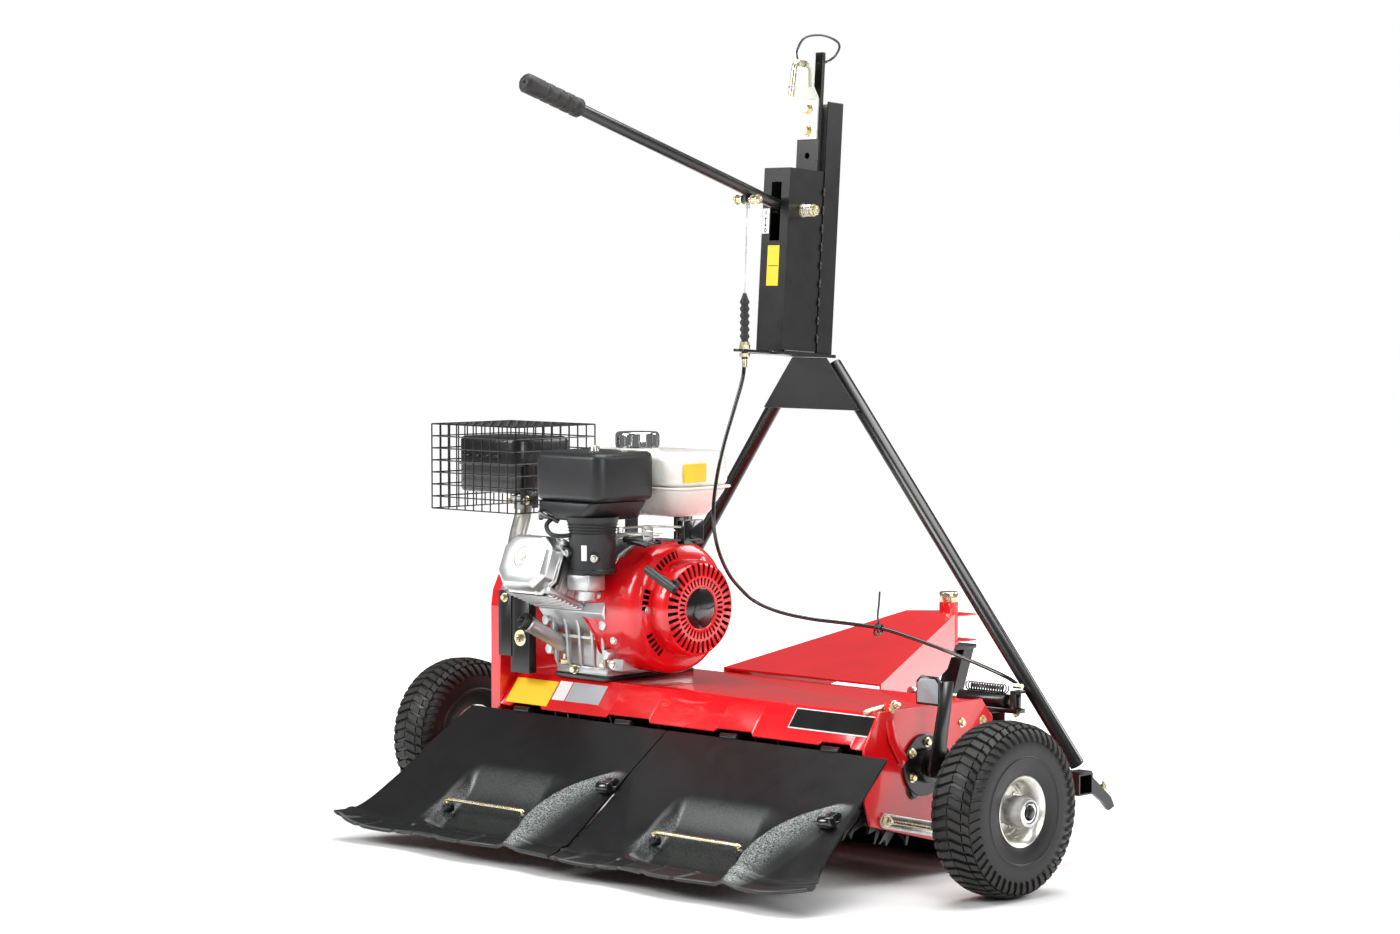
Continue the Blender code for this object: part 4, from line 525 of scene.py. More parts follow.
def rim(side):
    sign = 1 if side == "right" else -1
    centre = (0.0, TYRE_R)

    def lathe(profile, sides=72):
        return turned("X", centre, [(sign * (WHEEL_X + x), r) for x, r in profile], sides, closed=True)
    dish = lathe(((-0.036, 0.0545), (-0.036, 0.0590), (-0.0395, 0.0605), (-0.0400, 0.0590), (-0.0380, 0.0560),
                  (-0.034, 0.0490), (-0.006, 0.0450), (-0.004, 0.0240), (0.000, 0.0240), (0.000, 0.0420),
                  (0.004, 0.0455), (0.028, 0.0485), (0.0385, 0.0560), (0.0405, 0.0592), (0.0400, 0.0608),
                  (0.0380, 0.0602), (0.036, 0.0545), (0.0, 0.0505)))
    hub = lathe(((-0.020, 0.0130), (-0.020, 0.0240), (0.012, 0.0240), (0.0130, 0.0260), (0.044, 0.0260),
                 (0.0480, 0.0245), (0.0555, 0.0245), (0.0560, 0.0235), (0.0560, 0.0190), (0.0500, 0.0185),
                 (0.0500, 0.0130)))
    ring = lathe(((0.0500, 0.0128), (0.0545, 0.0128), (0.0550, 0.0140), (0.0545, 0.0175), (0.0500, 0.0180)))
    piece(dish, f"rim_{side}_dish", f"wheel_{side}", "zinc", angle=30, stands_for=(f"rim_{side}",))
    piece(hub, f"rim_{side}_hub", f"wheel_{side}", "steel", angle=30)
    piece(ring, f"rim_{side}_bearing", f"wheel_{side}", "chrome", angle=30)
    x = WHEEL_X + 0.001
    studs = [bolt((sign * x, 0.034 * math.cos(a), TYRE_R + 0.034 * math.sin(a)), (sign, 0, 0), 0.010, 0.006,
                  0.008)
             for a in (math.radians(35 + 90 * k) for k in range(4))]
    studs.append(swept(((sign * (WHEEL_X + 0.006), 0.0, TYRE_R - 0.047),
                        (sign * (WHEEL_X + 0.020), 0.0, TYRE_R - 0.044),
                        (sign * (WHEEL_X + 0.034), 0.0, TYRE_R - 0.0395)), [0.0042, 0.0034, 0.0026], 10))
    piece(gather(*studs), f"rim_{side}_studs", f"wheel_{side}", "zinc", angle=30)
    end = WHEEL_X + 0.0555
    piece(gather(turned("X", centre, ((sign * (WHEEL_X + 0.049), 0.0100), (sign * end, 0.0100),
                                      (sign * (end + 0.0020), 0.0085)), 24),
                 bolt((sign * (end + 0.0005), 0.0, TYRE_R), (sign, 0, 0), 0.010, 0.0025, 0.0075)),
          f"axle_{side}_end", f"arm_{side}", "brass_zinc", angle=30)


# ---------------------------------------------------------------- flaps

FLAP_LINE = ((-0.1135, 0.2320), (-0.160, 0.199), (-0.300, 0.098), (-0.362, 0.050), (-0.405, 0.036))
SCOOP_MIDDLES = {"left": -0.262, "right": 0.275}
RIDGE = ((0.33, 0.247), (0.545, 0.172), (0.757, 0.136),
         (1.04, 0.136))   # share down the flap, offset from the scoop


def along_line(line, share):
    """Point of a polyline at a share of its length."""
    steps = [math.dist(a, b) for a, b in zip(line, line[1:])]
    left = max(0.0, min(1.0, share)) * sum(steps)
    for (a, b), step in zip(zip(line, line[1:]), steps):
        if left <= step + 1e-9:
            break
        left -= step
    return a[0] + (b[0] - a[0]) * left / step, a[1] + (b[1] - a[1]) * left / step


def through(points, at):
    """Value at a place on the straight lines between (place, value) pairs."""
    for (p0, v0), (p1, v1) in zip(points, points[1:]):
        if at <= p1:
            break
    return v0 + (v1 - v0) * max(0.0, (at - p0) / (p1 - p0))


def ridge_at(share):
    return sum(through(RIDGE, share + d) for d in (-0.06, -0.03, 0.0, 0.03, 0.06)) / 5


def flap_relief(share, rel):
    """Height over the plain sheet, and how strong the painted highlight (pale grey speckled by grain) is
    there, from 0 to 1.
    """
    height, grain = 0.0, 0.0
    crest = ridge_at(share)
    t = (share - 0.33) / 0.70
    into = blend01((rel + 0.130) / 0.034)
    climb = max(0.0, min(1.0, (crest - rel) / max(0.02, crest - 0.088)))
    run = blend01((share - 0.40) / 0.24) * (1 - blend01((share - 0.83) / 0.09))
    scoop = into * climb * run if rel < crest else 0.0
    height -= 0.024 * scoop
    # painted highlight: faint on the scoop floor, stronger on the scoop's left side, brightest along the
    # ridge's crest and fading away from it
    if -0.105 < rel < 0.095 and 0.40 < share < 0.84:
        grain = 0.10 * blend01((share - 0.40) / 0.06) * (1 - blend01((share - 0.78) / 0.06))
    edge = -0.100 - 0.050 * (share - 0.42) / 0.44
    if edge < rel <= -0.098 and 0.42 < share < 0.88:
        grain = 0.42 * blend01((rel - edge) / 0.012) * (1 - blend01((share - 0.74) / 0.14))
    if 0.0 < t < 1.0:
        peak = 0.023 * math.sin(math.pi * t) ** 0.6
        wide = 0.012 + 0.040 * math.sin(math.pi * t) ** 0.8
        d = rel - crest
        if d < 0:
            height += peak * blend01(1 + d / 0.022)
        else:
            height += peak * max(0.0, 1 - d / (wide * 1.5)) ** 1.3
            grain = max(grain, blend01(1.25 - d / wide) * blend01(t / 0.10) * blend01((1 - t) / 0.10))
        if -0.007 < d < 0:
            grain = max(grain, 0.8 * blend01(1 + d / 0.007) * blend01(t / 0.10) * blend01((1 - t) / 0.10))
    fold = -0.256 + 0.147 * max(0.0, (share - 0.335) / 0.615) ** 1.3
    d = fold - rel
    if d > 0 and share > 0.30:
        height += (-0.13 * d + 0.75 * d * d) * blend01((share - 0.30) / 0.15)
    for k, rib in enumerate((-0.285, -0.235, -0.150, -0.095, -0.030, 0.045)):
        reach = 0.80 if k in (3, 5) else 0.88
        off = rel - rib + (share - 0.94) * 0.35
        if share > reach:
            height += 0.0032 * math.exp(-(off / 0.0035) ** 2) * blend01((share - reach) / 0.04)
    height += 0.0030 * blend01((share - 0.865) / 0.02) * (1 - blend01((share - 0.905) / 0.02))
    return height, grain


def flap(side):
    sign = 1 if side == "right" else -1
    rows, columns = 110, 150
    shape = bmesh.new()
    # per-vertex strength of the painted highlight
    painted_sheen = shape.verts.layers.float.new("painted_sheen")
    grid = []
    for r in range(rows + 1):
        share = r / rows
        near = [along_line(FLAP_LINE, share + d) for d in (-0.03, -0.015, 0.0, 0.015, 0.03)]
        y, z = (sum(p[0] for p in near) / 5, sum(p[1] for p in near) / 5)
        edge = 0.525 + 0.060 * share
        line = []
        for c in range(columns + 1):
            x = sign * (0.0015 + c / columns * (edge - 0.0015))
            height, grain = flap_relief(share, x - SCOOP_MIDDLES[side])
            px, py, pz = x, y - 0.50 * height, z + 0.85 * height
            low = blend01((share - 0.72) / 0.28)
            if side == "right" and x > 0.47:
                back = ((x - 0.47) / 0.115) ** 2 * low
                py, pz = py + 0.040 * back, pz + 0.012 * back
            if side == "left" and x < -0.50:
                tip = (-(x + 0.50) / 0.085) ** 2 * low
                pz += 0.010 * tip
            py += 0.006 * low * math.cos((x - SCOOP_MIDDLES[side] - 0.14) * 24.0)
            vert = shape.verts.new((px, max(py, -0.4635), pz))
            vert[painted_sheen] = grain
            line.append(vert)
        grid.append(line)
    for r in range(rows):
        for c in range(columns):
            corners = (grid[r][c], grid[r][c + 1], grid[r + 1][c + 1], grid[r + 1][c])
            shape.faces.new(corners if sign > 0 else corners[::-1])
    shape.normal_update()
    if sum(face.normal.z for face in shape.faces) < 0:
        bmesh.ops.reverse_faces(shape, faces=shape.faces)
    lip = [tuple(vert.co) for vert in grid[rows - 1][1:-1:3]]
    piece(shape, f"flap_{side}_panel", f"{side}_flap", "flap_plastic", angle=50, thick=0.0045,
          stands_for=(f"flap_{side}",))
    # bead along the lip in light grey: a painted highlight on the flap's front edge
    piece(swept([(x, y + 0.0015, z - 0.0010) for x, y, z in lip], 0.0030, 10), f"flap_{side}_lip",
          f"{side}_flap",
          "flap_lip_painted_highlight", angle=60)
    middle = SCOOP_MIDDLES[side]
    y, z, half, bend = -0.322, 0.090, 0.102, 0.008
    rod = smooth_path(((middle - half, y + 0.003, z - 0.0115),
                       (middle - half + 0.001, y + 0.001, z - bend * 0.7),
                       (middle - half + bend, y, z), (middle, y, z), (middle + half - bend, y, z),
                       (middle + half - 0.001, y + 0.001, z - bend * 0.7),
                       (middle + half, y + 0.003, z - 0.0115)), 5)
    feet = [turned("Y", (middle + s * half, z - 0.016), ((y - 0.004, 0.008), (y + 0.012, 0.009)), 16)
            for s in (-1, 1)]
    piece(swept(rod, 0.004, 16), f"flap_{side}_rod", f"{side}_flap", "brass_zinc", angle=60,
          stands_for=(f"flap_handle_{side}",))
    piece(gather(*feet), f"flap_{side}_rod_sockets", f"{side}_flap", "flap_plastic", bevel=0.0015)


def flap_clips():
    """Moulded loops that tie the flaps' ridges to their neighbours."""
    for name, body, (x, y, z) in (("flap_clip_seam", "left_flap", (-0.016, -0.248, 0.144)),
                                  ("flap_clip_end", "right_flap", (0.520, -0.252, 0.142))):
        strap = prism("X", capsule((y - 0.012, z - 0.004), (y + 0.012, z + 0.004), 0.008), x - 0.009,
                      x + 0.009)
        knob = turned("X", (y - 0.010, z - 0.003),
                      ((x - 0.015, 0.007), (x - 0.013, 0.010), (x + 0.013, 0.010),
                                                    (x + 0.015, 0.007)), 24)
        foot = block((x - 0.013, y - 0.002, z - 0.014), (x + 0.013, y + 0.018, z - 0.002))
        piece(gather(strap, knob, foot), name, body, "black_gloss", bevel=0.0015)


# ---------------------------------------------------------------- deck

STRIP = ((-0.105, 0.238), (-0.060, 0.296))     # lower and upper edge of the sloping front strip


def strip_plate(name, x0, x1, low, high, look, thick=0.0006, frame_look=None):
    """A thin plate stuck on the front strip, between two shares of its height."""
    (y0, z0), (y1, z1) = STRIP
    out = Vector((0.0, -(z1 - z0), y1 - y0)).normalized()
    up = Vector((0.0, y1 - y0, z1 - z0))
    start = Vector((0.0, y0, z0))

    def plate(a, b, c, d, lift, deep):
        corners = [(a, c), (b, c), (b, d), (a, d)]
        return skin([[Vector((x, 0, 0)) + start + up * v + out * level for x, v in corners]
                     for level in (lift, lift + deep)])
    if frame_look:
        piece(plate(x0, x1, low, high, 0.0002, thick), name + "_edge", "deck", frame_look)
        piece(plate(x0 + 0.0018, x1 - 0.0018, low + 0.03, high - 0.03, 0.0002, thick + 0.0004), name, "deck",
              look)
    else:
        piece(plate(x0, x1, low, high, 0.0002, thick), name, "deck", look)


def deck():
    half, sheet = 0.4587, 0.004
    notches = ((-0.424, -0.351), (-0.167, -0.063), (0.110, 0.194), (0.362, 0.427))

    def station(x, lift):
        line = [(-0.105 + lift * 0.75, 0.238 + lift)]
        for (cy, cz), start, end, radius in (((-0.0567, 0.2885), 128, 90, 0.0075),
                                             ((0.2035, 0.2885), 90, 48, 0.0075),
                                             ((0.2290, 0.2580), 48, 0, 0.006)):
            line += [(cy + radius * math.cos(math.radians(start + (end - start) * k / 4)),
                      cz + radius * math.sin(math.radians(start + (end - start) * k / 4))) for k in range(5)]
        line.append((0.235, 0.110))
        points = [Vector(p) for p in line]
        legs = [(b - a).normalized() for a, b in zip(points, points[1:])]
        back = []
        for k, point in enumerate(points):
            one, two = (legs[max(k - 1, 0)], legs[min(k, len(legs) - 1)])
            middle = (Vector((one.y, -one.x)) + Vector((two.y, -two.x))).normalized()
            back.append(point + middle * sheet)
        return [(x, p.x, p.y) for p in points + back[::-1]]
    stations = [(-half, 0.0)]
    for a, b in notches:
        stations += [(a - 0.006, 0.0), (a, 0.006), (b, 0.006), (b + 0.006, 0.0)]
    stations.append((half, 0.0))
    piece(skin([station(*each) for each in stations]), "deck_sheet", "deck", "red_paint", bevel=0.0006,
          angle=30, stands_for=("deck_housing",))
    knuckles = [turned("X", (-0.1125, 0.2335), [((a + b) / 2 + end, 0.0055) for end in (-0.020, 0.020)], 20)
                for a, b in notches]
    piece(gather(*knuckles), "flap_hinge_knuckles", "deck", "black_paint", bevel=0.001)
    for name, x0, x1, low, high in (("yellow", -0.447, -0.334, 0.08, 0.82),
                                    ("white", -0.330, -0.297, 0.30, 0.86),
                                    ("grey", -0.294, -0.204, 0.30, 0.86)):
        strip_plate("label_" + name, x0, x1, low, high, name + "_label")
    strip_plate("name_plate", 0.272, 0.4635, 0.34, 0.90, "black_gloss", 0.0010, "white_label")
    for node in ("side_plate_left", "side_plate_right", "belt_cover"):
        refine(node, "red_paint", 0.0014, flat_from=0.0004)
    refine("gooseneck", "red_paint", 0.0016, flat_from=0.0004)
    for node in ("rear_crossbar", "engine_base_plate"):
        refine(node, "black_paint", 0.0015)
    refine("rear_roller", "black_paint", 0.002)
    for side in ("left", "right"):
        refine(f"roller_arm_{side}", "zinc", 0.001)
        refine(f"arm_bracket_{side}", "black_paint", 0.0012)
        refine(f"wheel_arm_{side}", "black_paint", 0.0014)

    # flange that folds down along the gooseneck's foot, and the plates around its swivel tube
    lips = [prism("Z", ((-0.018, 0.655), (0.018, 0.655), (0.030, 0.680), (0.030, 0.709), (-0.030, 0.709),
                        (-0.030, 0.680)), z, z + 0.003) for z in (0.3325, 0.3825)]
    piece(gather(*lips), "gooseneck_lips", "deck", "red_paint", bevel=0.0008)
    piece(turned("Z", (0.0, 0.660), ((0.4085, 0.0190), (0.4094, 0.0196), (0.4098, 0.0188)), 48),
          "gooseneck_weld", "deck",
          "red_paint", angle=60)

    # bolt heads on the side plates, on the wheel arm's flange, and the pivots of the roller's arms
    bolts = []
    for x, size, places in (
            (SIDE_X, (0.010, 0.006, 0.0085),
             ((0.206, 0.262), (0.150, 0.262), (-0.009, 0.207), (0.165, 0.110))),
            (0.4715, (0.011, 0.007, 0.0088),
             ((0.0113, 0.180), (0.0774, 0.172), (0.0900, 0.206), (0.050, 0.238),
                                              (0.010, 0.222))),
            (-0.4653, (0.010, 0.006, 0.0085),
             ((0.206, 0.262), (0.150, 0.215), (0.165, 0.110), (-0.060, 0.150))),
            (0.4718, (0.013, 0.009, 0.011, 0.004), ((-0.055, 0.112), (0.262, 0.040))),
            (-0.4718, (0.013, 0.009, 0.011, 0.004), ((0.132, 0.086), (0.262, 0.040)))):
        bolts += [bolt((x, y, z), (math.copysign(1, x), 0, 0), *size) for y, z in places]
    fasteners("deck_bolts", "deck", "brass_zinc", bolts)
    flange = gather(turned("X", ARM_PIVOT, ((0.4655, 0.0540), (0.4700, 0.0540), (0.4712, 0.0528)), 48),
                    turned("X", ARM_PIVOT, ((0.4710, 0.0300), (0.4860, 0.0290), (0.4870, 0.0250)), 40))
    piece(flange, "arm_flange", "deck", "black_paint", angle=30)

    # bent flat bar at the right front corner with its two threaded pins
    line = ((-0.008, 0.207), (-0.036, 0.247), (-0.040, 0.275), (-0.034, 0.300), (-0.032, 0.310))
    path = smooth_path([(0.4705, y, z) if k < 2 else (0.4705 - 0.006 * (k - 1), y, z)
                        for k, (y, z) in enumerate(line)], 5)
    strap = []
    for k, point in enumerate(path):
        ahead = (path[min(k + 1, len(path) - 1)] - path[max(k - 1, 0)]).normalized()
        side = Vector((1, 0, 0)).cross(ahead).normalized()
        flat = ahead.cross(side).normalized()
        strap.append([point + side * a * 0.010 + flat * b * 0.0025 for a,
                      b in ((-1, -1), (1, -1), (1, 1), (-1, 1))])
    piece(skin(strap), "corner_bar", "deck", "red_paint", bevel=0.001)
    pins = [turned("X", (-0.034, 0.300), ((0.420, 0.0040), (0.450, 0.0055), (0.466, 0.0055)), 20),
            bolt((0.467, -0.030, 0.309), (0.80, -0.45, 0.15), 0.012, 0.010, 0.0085, 0.016),
            spun(((0.0, 0.0050), (0.034, 0.0050), (0.038, 0.0034)), 20, (0.446, -0.036, 0.304),
                 (-0.35, -0.90, -0.20))]
    piece(gather(*pins), "corner_bar_pins", "deck", "brass_zinc", angle=30)
    link = swept(smooth_path(((0.4745, -0.052, 0.110), (0.480, -0.030, 0.106), (0.500, 0.020, 0.094),
                              (0.516, 0.050, 0.086)), 5), 0.0038, 12)
    piece(link, "skid_link", "deck", "brass_zinc", angle=60)


def drive():
    """Rotor with its tines, the pulleys and the belt. Each row of tines is turned a little from the last."""
    refine("rotor", "black_paint", 0.0006, 1)
    for node in ("rotor_pulley", "drive_pulley", "idler_pulley", "crankshaft"):
        refine(node, "steel", 0.0005, 1)
    refine("tensioner_arm", "zinc", 0.0008)
    refine("drive_belt", "rubber", 0.0008, 1)
    blades = []
    for k in range(17):
        x = -0.43 + 0.86 * k / 16
        for j in range(9):
            turn = math.tau * (j / 9 + 0.37 * k)
            out = Vector((0.0, math.cos(turn), math.sin(turn)))
            lean = Vector((0.0, -math.sin(turn), math.cos(turn)))
            side = Vector((1, 0, 0))
            middle = Vector((x, *ROTOR_AXIS))
            root = middle + out * 0.030
            tip = middle + out * 0.1035 - lean * 0.016
            mid = middle + out * 0.072 + lean * 0.004
            blades.append(skin([[p + lean * w + side * t for w,
                                 t in ((-w0, -0.0016), (w0, -0.0016), (w0, 0.0016),
                                                                      (-w0, 0.0016))]
                                for p, w0 in ((root, 0.011), (mid, 0.0085), (tip, 0.0018))]))
    piece(gather(*blades), "rotor_tines", "rotor", "black_paint", angle=30)


# ---------------------------------------------------------------- engine

def slotted(rings, turns, is_slot):
    """Surface of revolution about the crank line with some of its cells left open."""
    shape = bmesh.new()
    grid = [[shape.verts.new((x, CRANK[0] + r * math.cos(math.tau * k / turns),
                              CRANK[1] + r * math.sin(math.tau * k / turns)))
             for k in range(turns)] for x, r in rings]
    for j in range(len(rings) - 1):
        for k in range(turns):
            if not is_slot(j, k):
                n = (k + 1) % turns
                shape.faces.new((grid[j][k], grid[j + 1][k], grid[j + 1][n], grid[j][n]))
    bmesh.ops.delete(shape, geom=[v for v in shape.verts if not v.link_faces], context="VERTS")
    return shape


def recoil_cover():
    turns = 216
    rings = ((-0.0917, 0.0870), (-0.0700, 0.0870), (-0.0620, 0.0866), (-0.0560, 0.0848), (-0.0525, 0.0818),
             (-0.0510, 0.0788), (-0.0503, 0.0600), (-0.0501, 0.0560), (-0.0500, 0.0430), (-0.0503, 0.0405),
             (-0.0515, 0.0395), (-0.0515, 0.0100))

    def is_slot(j, k):
        """Long outer slots, and shorter inner ones between them."""
        return (j in (4, 5) and k % 6 in (1, 2, 3)) or (j == 7 and k % 6 in (4, 5, 0))
    piece(slotted(rings, turns, is_slot), "recoil_cover_shell", "deck", "red_paint", thick=0.0022, angle=40,
          stands_for=("recoil_cover",))
    piece(turned("X", CRANK, ((-0.0515, 0.0385), (-0.0500, 0.0385), (-0.0492, 0.0372), (-0.0490, 0.0)), 64,
                 capped=False),
          "recoil_label", "deck", "black_gloss", angle=40)
    # near-black disc behind the recoil cover's slots: painted shade inside the cover
    piece(turned("X", CRANK, ((-0.064, 0.080), (-0.060, 0.080)), 64), "recoil_painted_shade_disc", "deck", "dark")
    bolts = [bolt((-0.0915, CRANK[0] + 0.0950 * math.cos(a), CRANK[1] + 0.0950 * math.sin(a)), (1, 0, 0),
                  0.008, 0.005, 0.007)
             for a in (math.radians(60), math.radians(180), math.radians(300))]
    fasteners("recoil_bolts", "deck", "zinc", bolts)


def fan_shroud():
    """Blower housing: drum, domed face with groups of slots, and the skirt over the crankcase."""
    turns = 180
    rings = ((-0.1655, 0.1216), (-0.1200, 0.1216), (-0.1120, 0.1208), (-0.1040, 0.1170), (-0.0985, 0.1115),
             (-0.0962, 0.1060), (-0.0942, 0.0990), (-0.0930, 0.0930), (-0.0925, 0.0600))
    groups = ((100, 140), (158, 178), (205, 232))          # degrees round the drum, from the rear upwards

    def is_slot(j, k):
        angle = 2 * k
        return j in (5, 6) and any(a <= angle <= b for a, b in groups) and k % 3 != 0
    piece(slotted(rings, turns, is_slot), "fan_shroud_shell", "deck", "red_paint", thick=0.0022, angle=40,
          stands_for=("fan_shroud",))
    # near-black ring behind the shroud's slots: painted shade inside the housing
    piece(turned("X", CRANK, ((-0.110, 0.112), (-0.102, 0.106)), 64), "fan_shroud_painted_shade_ring", "deck", "dark")

    def edge(angle):
        """Left end of the skirt at an angle above the front."""
        return through(((-75, -0.195), (-60, -0.220), (-44, -0.226), (-26, -0.216), (-14, -0.228),
                        (-5, -0.240),
                        (0, -0.268), (13, -0.272), (18, -0.240), (48, -0.215)), angle)
    shape = bmesh.new()
    grid = []
    for k in range(46):
        angle = -75 + 123 * k / 45
        left = edge(angle)
        line = []
        for j in range(13):
            x = -0.160 + (left + 0.160) * j / 12
            radius = 0.1224 + 0.0020 * math.sin(math.pi * j / 12)
            a = math.radians(angle)
            line.append(shape.verts.new((x, CRANK[0] - radius * math.cos(a),
                                         CRANK[1] + radius * math.sin(a))))
        grid.append(line)
    for one, two in zip(grid, grid[1:]):
        for a, b, c, d in zip(one, one[1:], two[1:], two):
            shape.faces.new((a, b, c, d))
    shape.normal_update()
    if sum(face.normal.y for face in shape.faces) > 0:
        bmesh.ops.reverse_faces(shape, faces=shape.faces)
    piece(shape, "blower_skirt", "deck", "red_paint", thick=0.002, angle=40)
    ribs = []
    for first, last in ((0.0, 1.0), (0.35, 0.9)):
        path = []
        for k in range(15):
            angle = -70 + 78 * k / 14
            a = math.radians(angle)
            x = edge(angle) + 0.004 if first == 0.0 else (edge(angle) - 0.165) / 2
            path.append((x, CRANK[0] - 0.1240 * math.cos(a), CRANK[1] + 0.1240 * math.sin(a)))
        ribs.append(swept(path[int(first * 14):int(last * 14) + 1], 0.0022, 8))
    piece(gather(*ribs), "blower_ribs", "deck", "red_paint", angle=60)
    strip = []
    for k in range(9):
        a = math.radians(-11 + 47 * k / 8)
        strip.append([(x, CRANK[0] - r * math.cos(a), CRANK[1] + r * math.sin(a))
                      for x, r in ((-0.126, 0.1217), (-0.112, 0.1213), (-0.112, 0.1223), (-0.126, 0.1227))])
    piece(skin(strip), "label_strip", "deck", "white_label", angle=40)
    plate = skin([[(x, CRANK[0] - r * math.cos(a), CRANK[1] + r * math.sin(a)) for x, a in
                   ((-0.150, math.radians(41)), (-0.122, math.radians(40)), (-0.122, math.radians(44)),
                    (-0.150, math.radians(45)))] for r in (0.1217, 0.1228)])
    piece(plate, "label_small", "deck", "black_gloss")


def starter():
    heading = Vector((0.90, 0.02, -0.43)).normalized()
    middle = Vector((-0.032, -0.100, 0.4985))
    half = 0.041
    path = [middle + heading * half * s for s in (-1.0, -0.96, -0.6, -0.2, 0.2, 0.6, 0.96, 1.0)]
    grip = swept(path, [0.004, 0.0075, 0.0088, 0.0082, 0.0082, 0.0088, 0.0075, 0.004], 16)
    boss = spun(((0.0, 0.0095), (0.010, 0.0085), (0.018, 0.0060)), 20, middle + Vector((0.0, -0.001, 0.0)),
                (0.05, 0.92, -0.25))
    piece(gather(grip, boss), "starter_grip", "starter", "black_plastic", angle=50,
          stands_for=("starter_handle",))
    eye = middle + Vector((0.003, 0.016, -0.006))
    guide = Vector((-0.046, -0.052, 0.486))
    rope = smooth_path((eye, (eye + guide) / 2 + Vector((0, 0, -0.001)), guide), 6)
    piece(swept(rope, 0.0022, 10), "starter_rope", "deck", "rubber", blend=("deck", "starter", guide, eye))
    collar = spun(((-0.006, 0.0095), (0.002, 0.0095), (0.006, 0.0070), (0.006, 0.0032)), 24, guide,
                  eye - guide)
    piece(collar, "starter_collar", "deck", "black_plastic", bevel=0.0008)


def crankcase():
    refine("crankcase", "cast_aluminium", 0.005, 3)
    refine("cylinder_head", "cast_aluminium", 0.0012)
    refine("carburettor", "cast_aluminium", 0.003, 3)
    refine("exhaust_pipe", "hot_steel", 0.0008)
    ribs = []
    for x in (-0.325, -0.292, -0.258, -0.224, -0.196):
        ribs.append(prism("X", ((-0.0805, 0.322), (-0.0855, 0.330), (-0.0915, 0.395), (-0.0985, 0.415),
                                (-0.0790, 0.415),
                                (-0.0790, 0.322)), x - 0.0028, x + 0.0028))
    ribs.append(block((-0.346, -0.0868, 0.3745), (-0.174, -0.0790, 0.3800)))
    ribs += [turned("Y", (x, z), ((front, 0.009), (-0.078, 0.011)), 24)
             for x in (-0.336, -0.184) for z, front in ((0.350, -0.094), (0.405, -0.102))]
    piece(gather(*ribs), "crankcase_ribs", "deck", "cast_aluminium", bevel=0.0016, segments=3)
    neck_at, neck_aim = (-0.326, -0.118, 0.384), (-0.30, -0.78, 0.50)
    neck = spun(((-0.050, 0.0150), (0.026, 0.0140), (0.028, 0.0155), (0.034, 0.0155)), 28, neck_at, neck_aim)
    piece(neck, "oil_neck", "deck", "cast_aluminium", bevel=0.001)
    plug = toward(gather(turned("Z", (0, 0), ((0.034, 0.0165), (0.046, 0.0165), (0.048, 0.0145)), 12),
                         turned("Z", (0, 0), ((0.046, 0.0070), (0.056, 0.0060)), 8)), neck_at, neck_aim)
    piece(plug, "oil_plug", "deck", "black_plastic", bevel=0.001)
    nuts = [bolt((x, y, FEET_TOP), (0, 0, 1), 0.013, 0.009, 0.010, 0.010)
            for x, y in ((-0.328, -0.0595), (-0.224, -0.0595), (-0.334, 0.145), (-0.222, 0.145))]
    nuts += [bolt((-0.2960, -0.0643, 0.3125), (0, -1, 0), 0.012, 0.008, 0.009)]
    fasteners("engine_nuts", "deck", "brass_zinc", nuts)
    drain = [bolt((-0.185, -0.112, 0.462), (0.2, -1, 0.1), 0.009, 0.007, 0.0075),
             bolt((-0.236, -0.128, 0.447), (0.1, -1, 0.2), 0.009, 0.007, 0.0075),
             bolt((-0.170, -0.087, 0.332), (0.2, -1, -0.2), 0.009, 0.006, 0.0075),
             bolt((-0.150, -0.104, 0.380), (0.2, -1, -0.4), 0.009, 0.006, 0.0075)]
    fasteners("housing_bolts", "deck", "zinc", drain)
    head = [turned("Y", (HEAD_X + x, z), ((-0.212, 0.0075), (-0.120, 0.0075)), 16)
            for x in (-0.058, 0.058) for z in (-0.046, 0.046)]
    piece(gather(*head), "head_columns", "deck", "cast_aluminium", axes=HEAD_AXES, bevel=0.001)


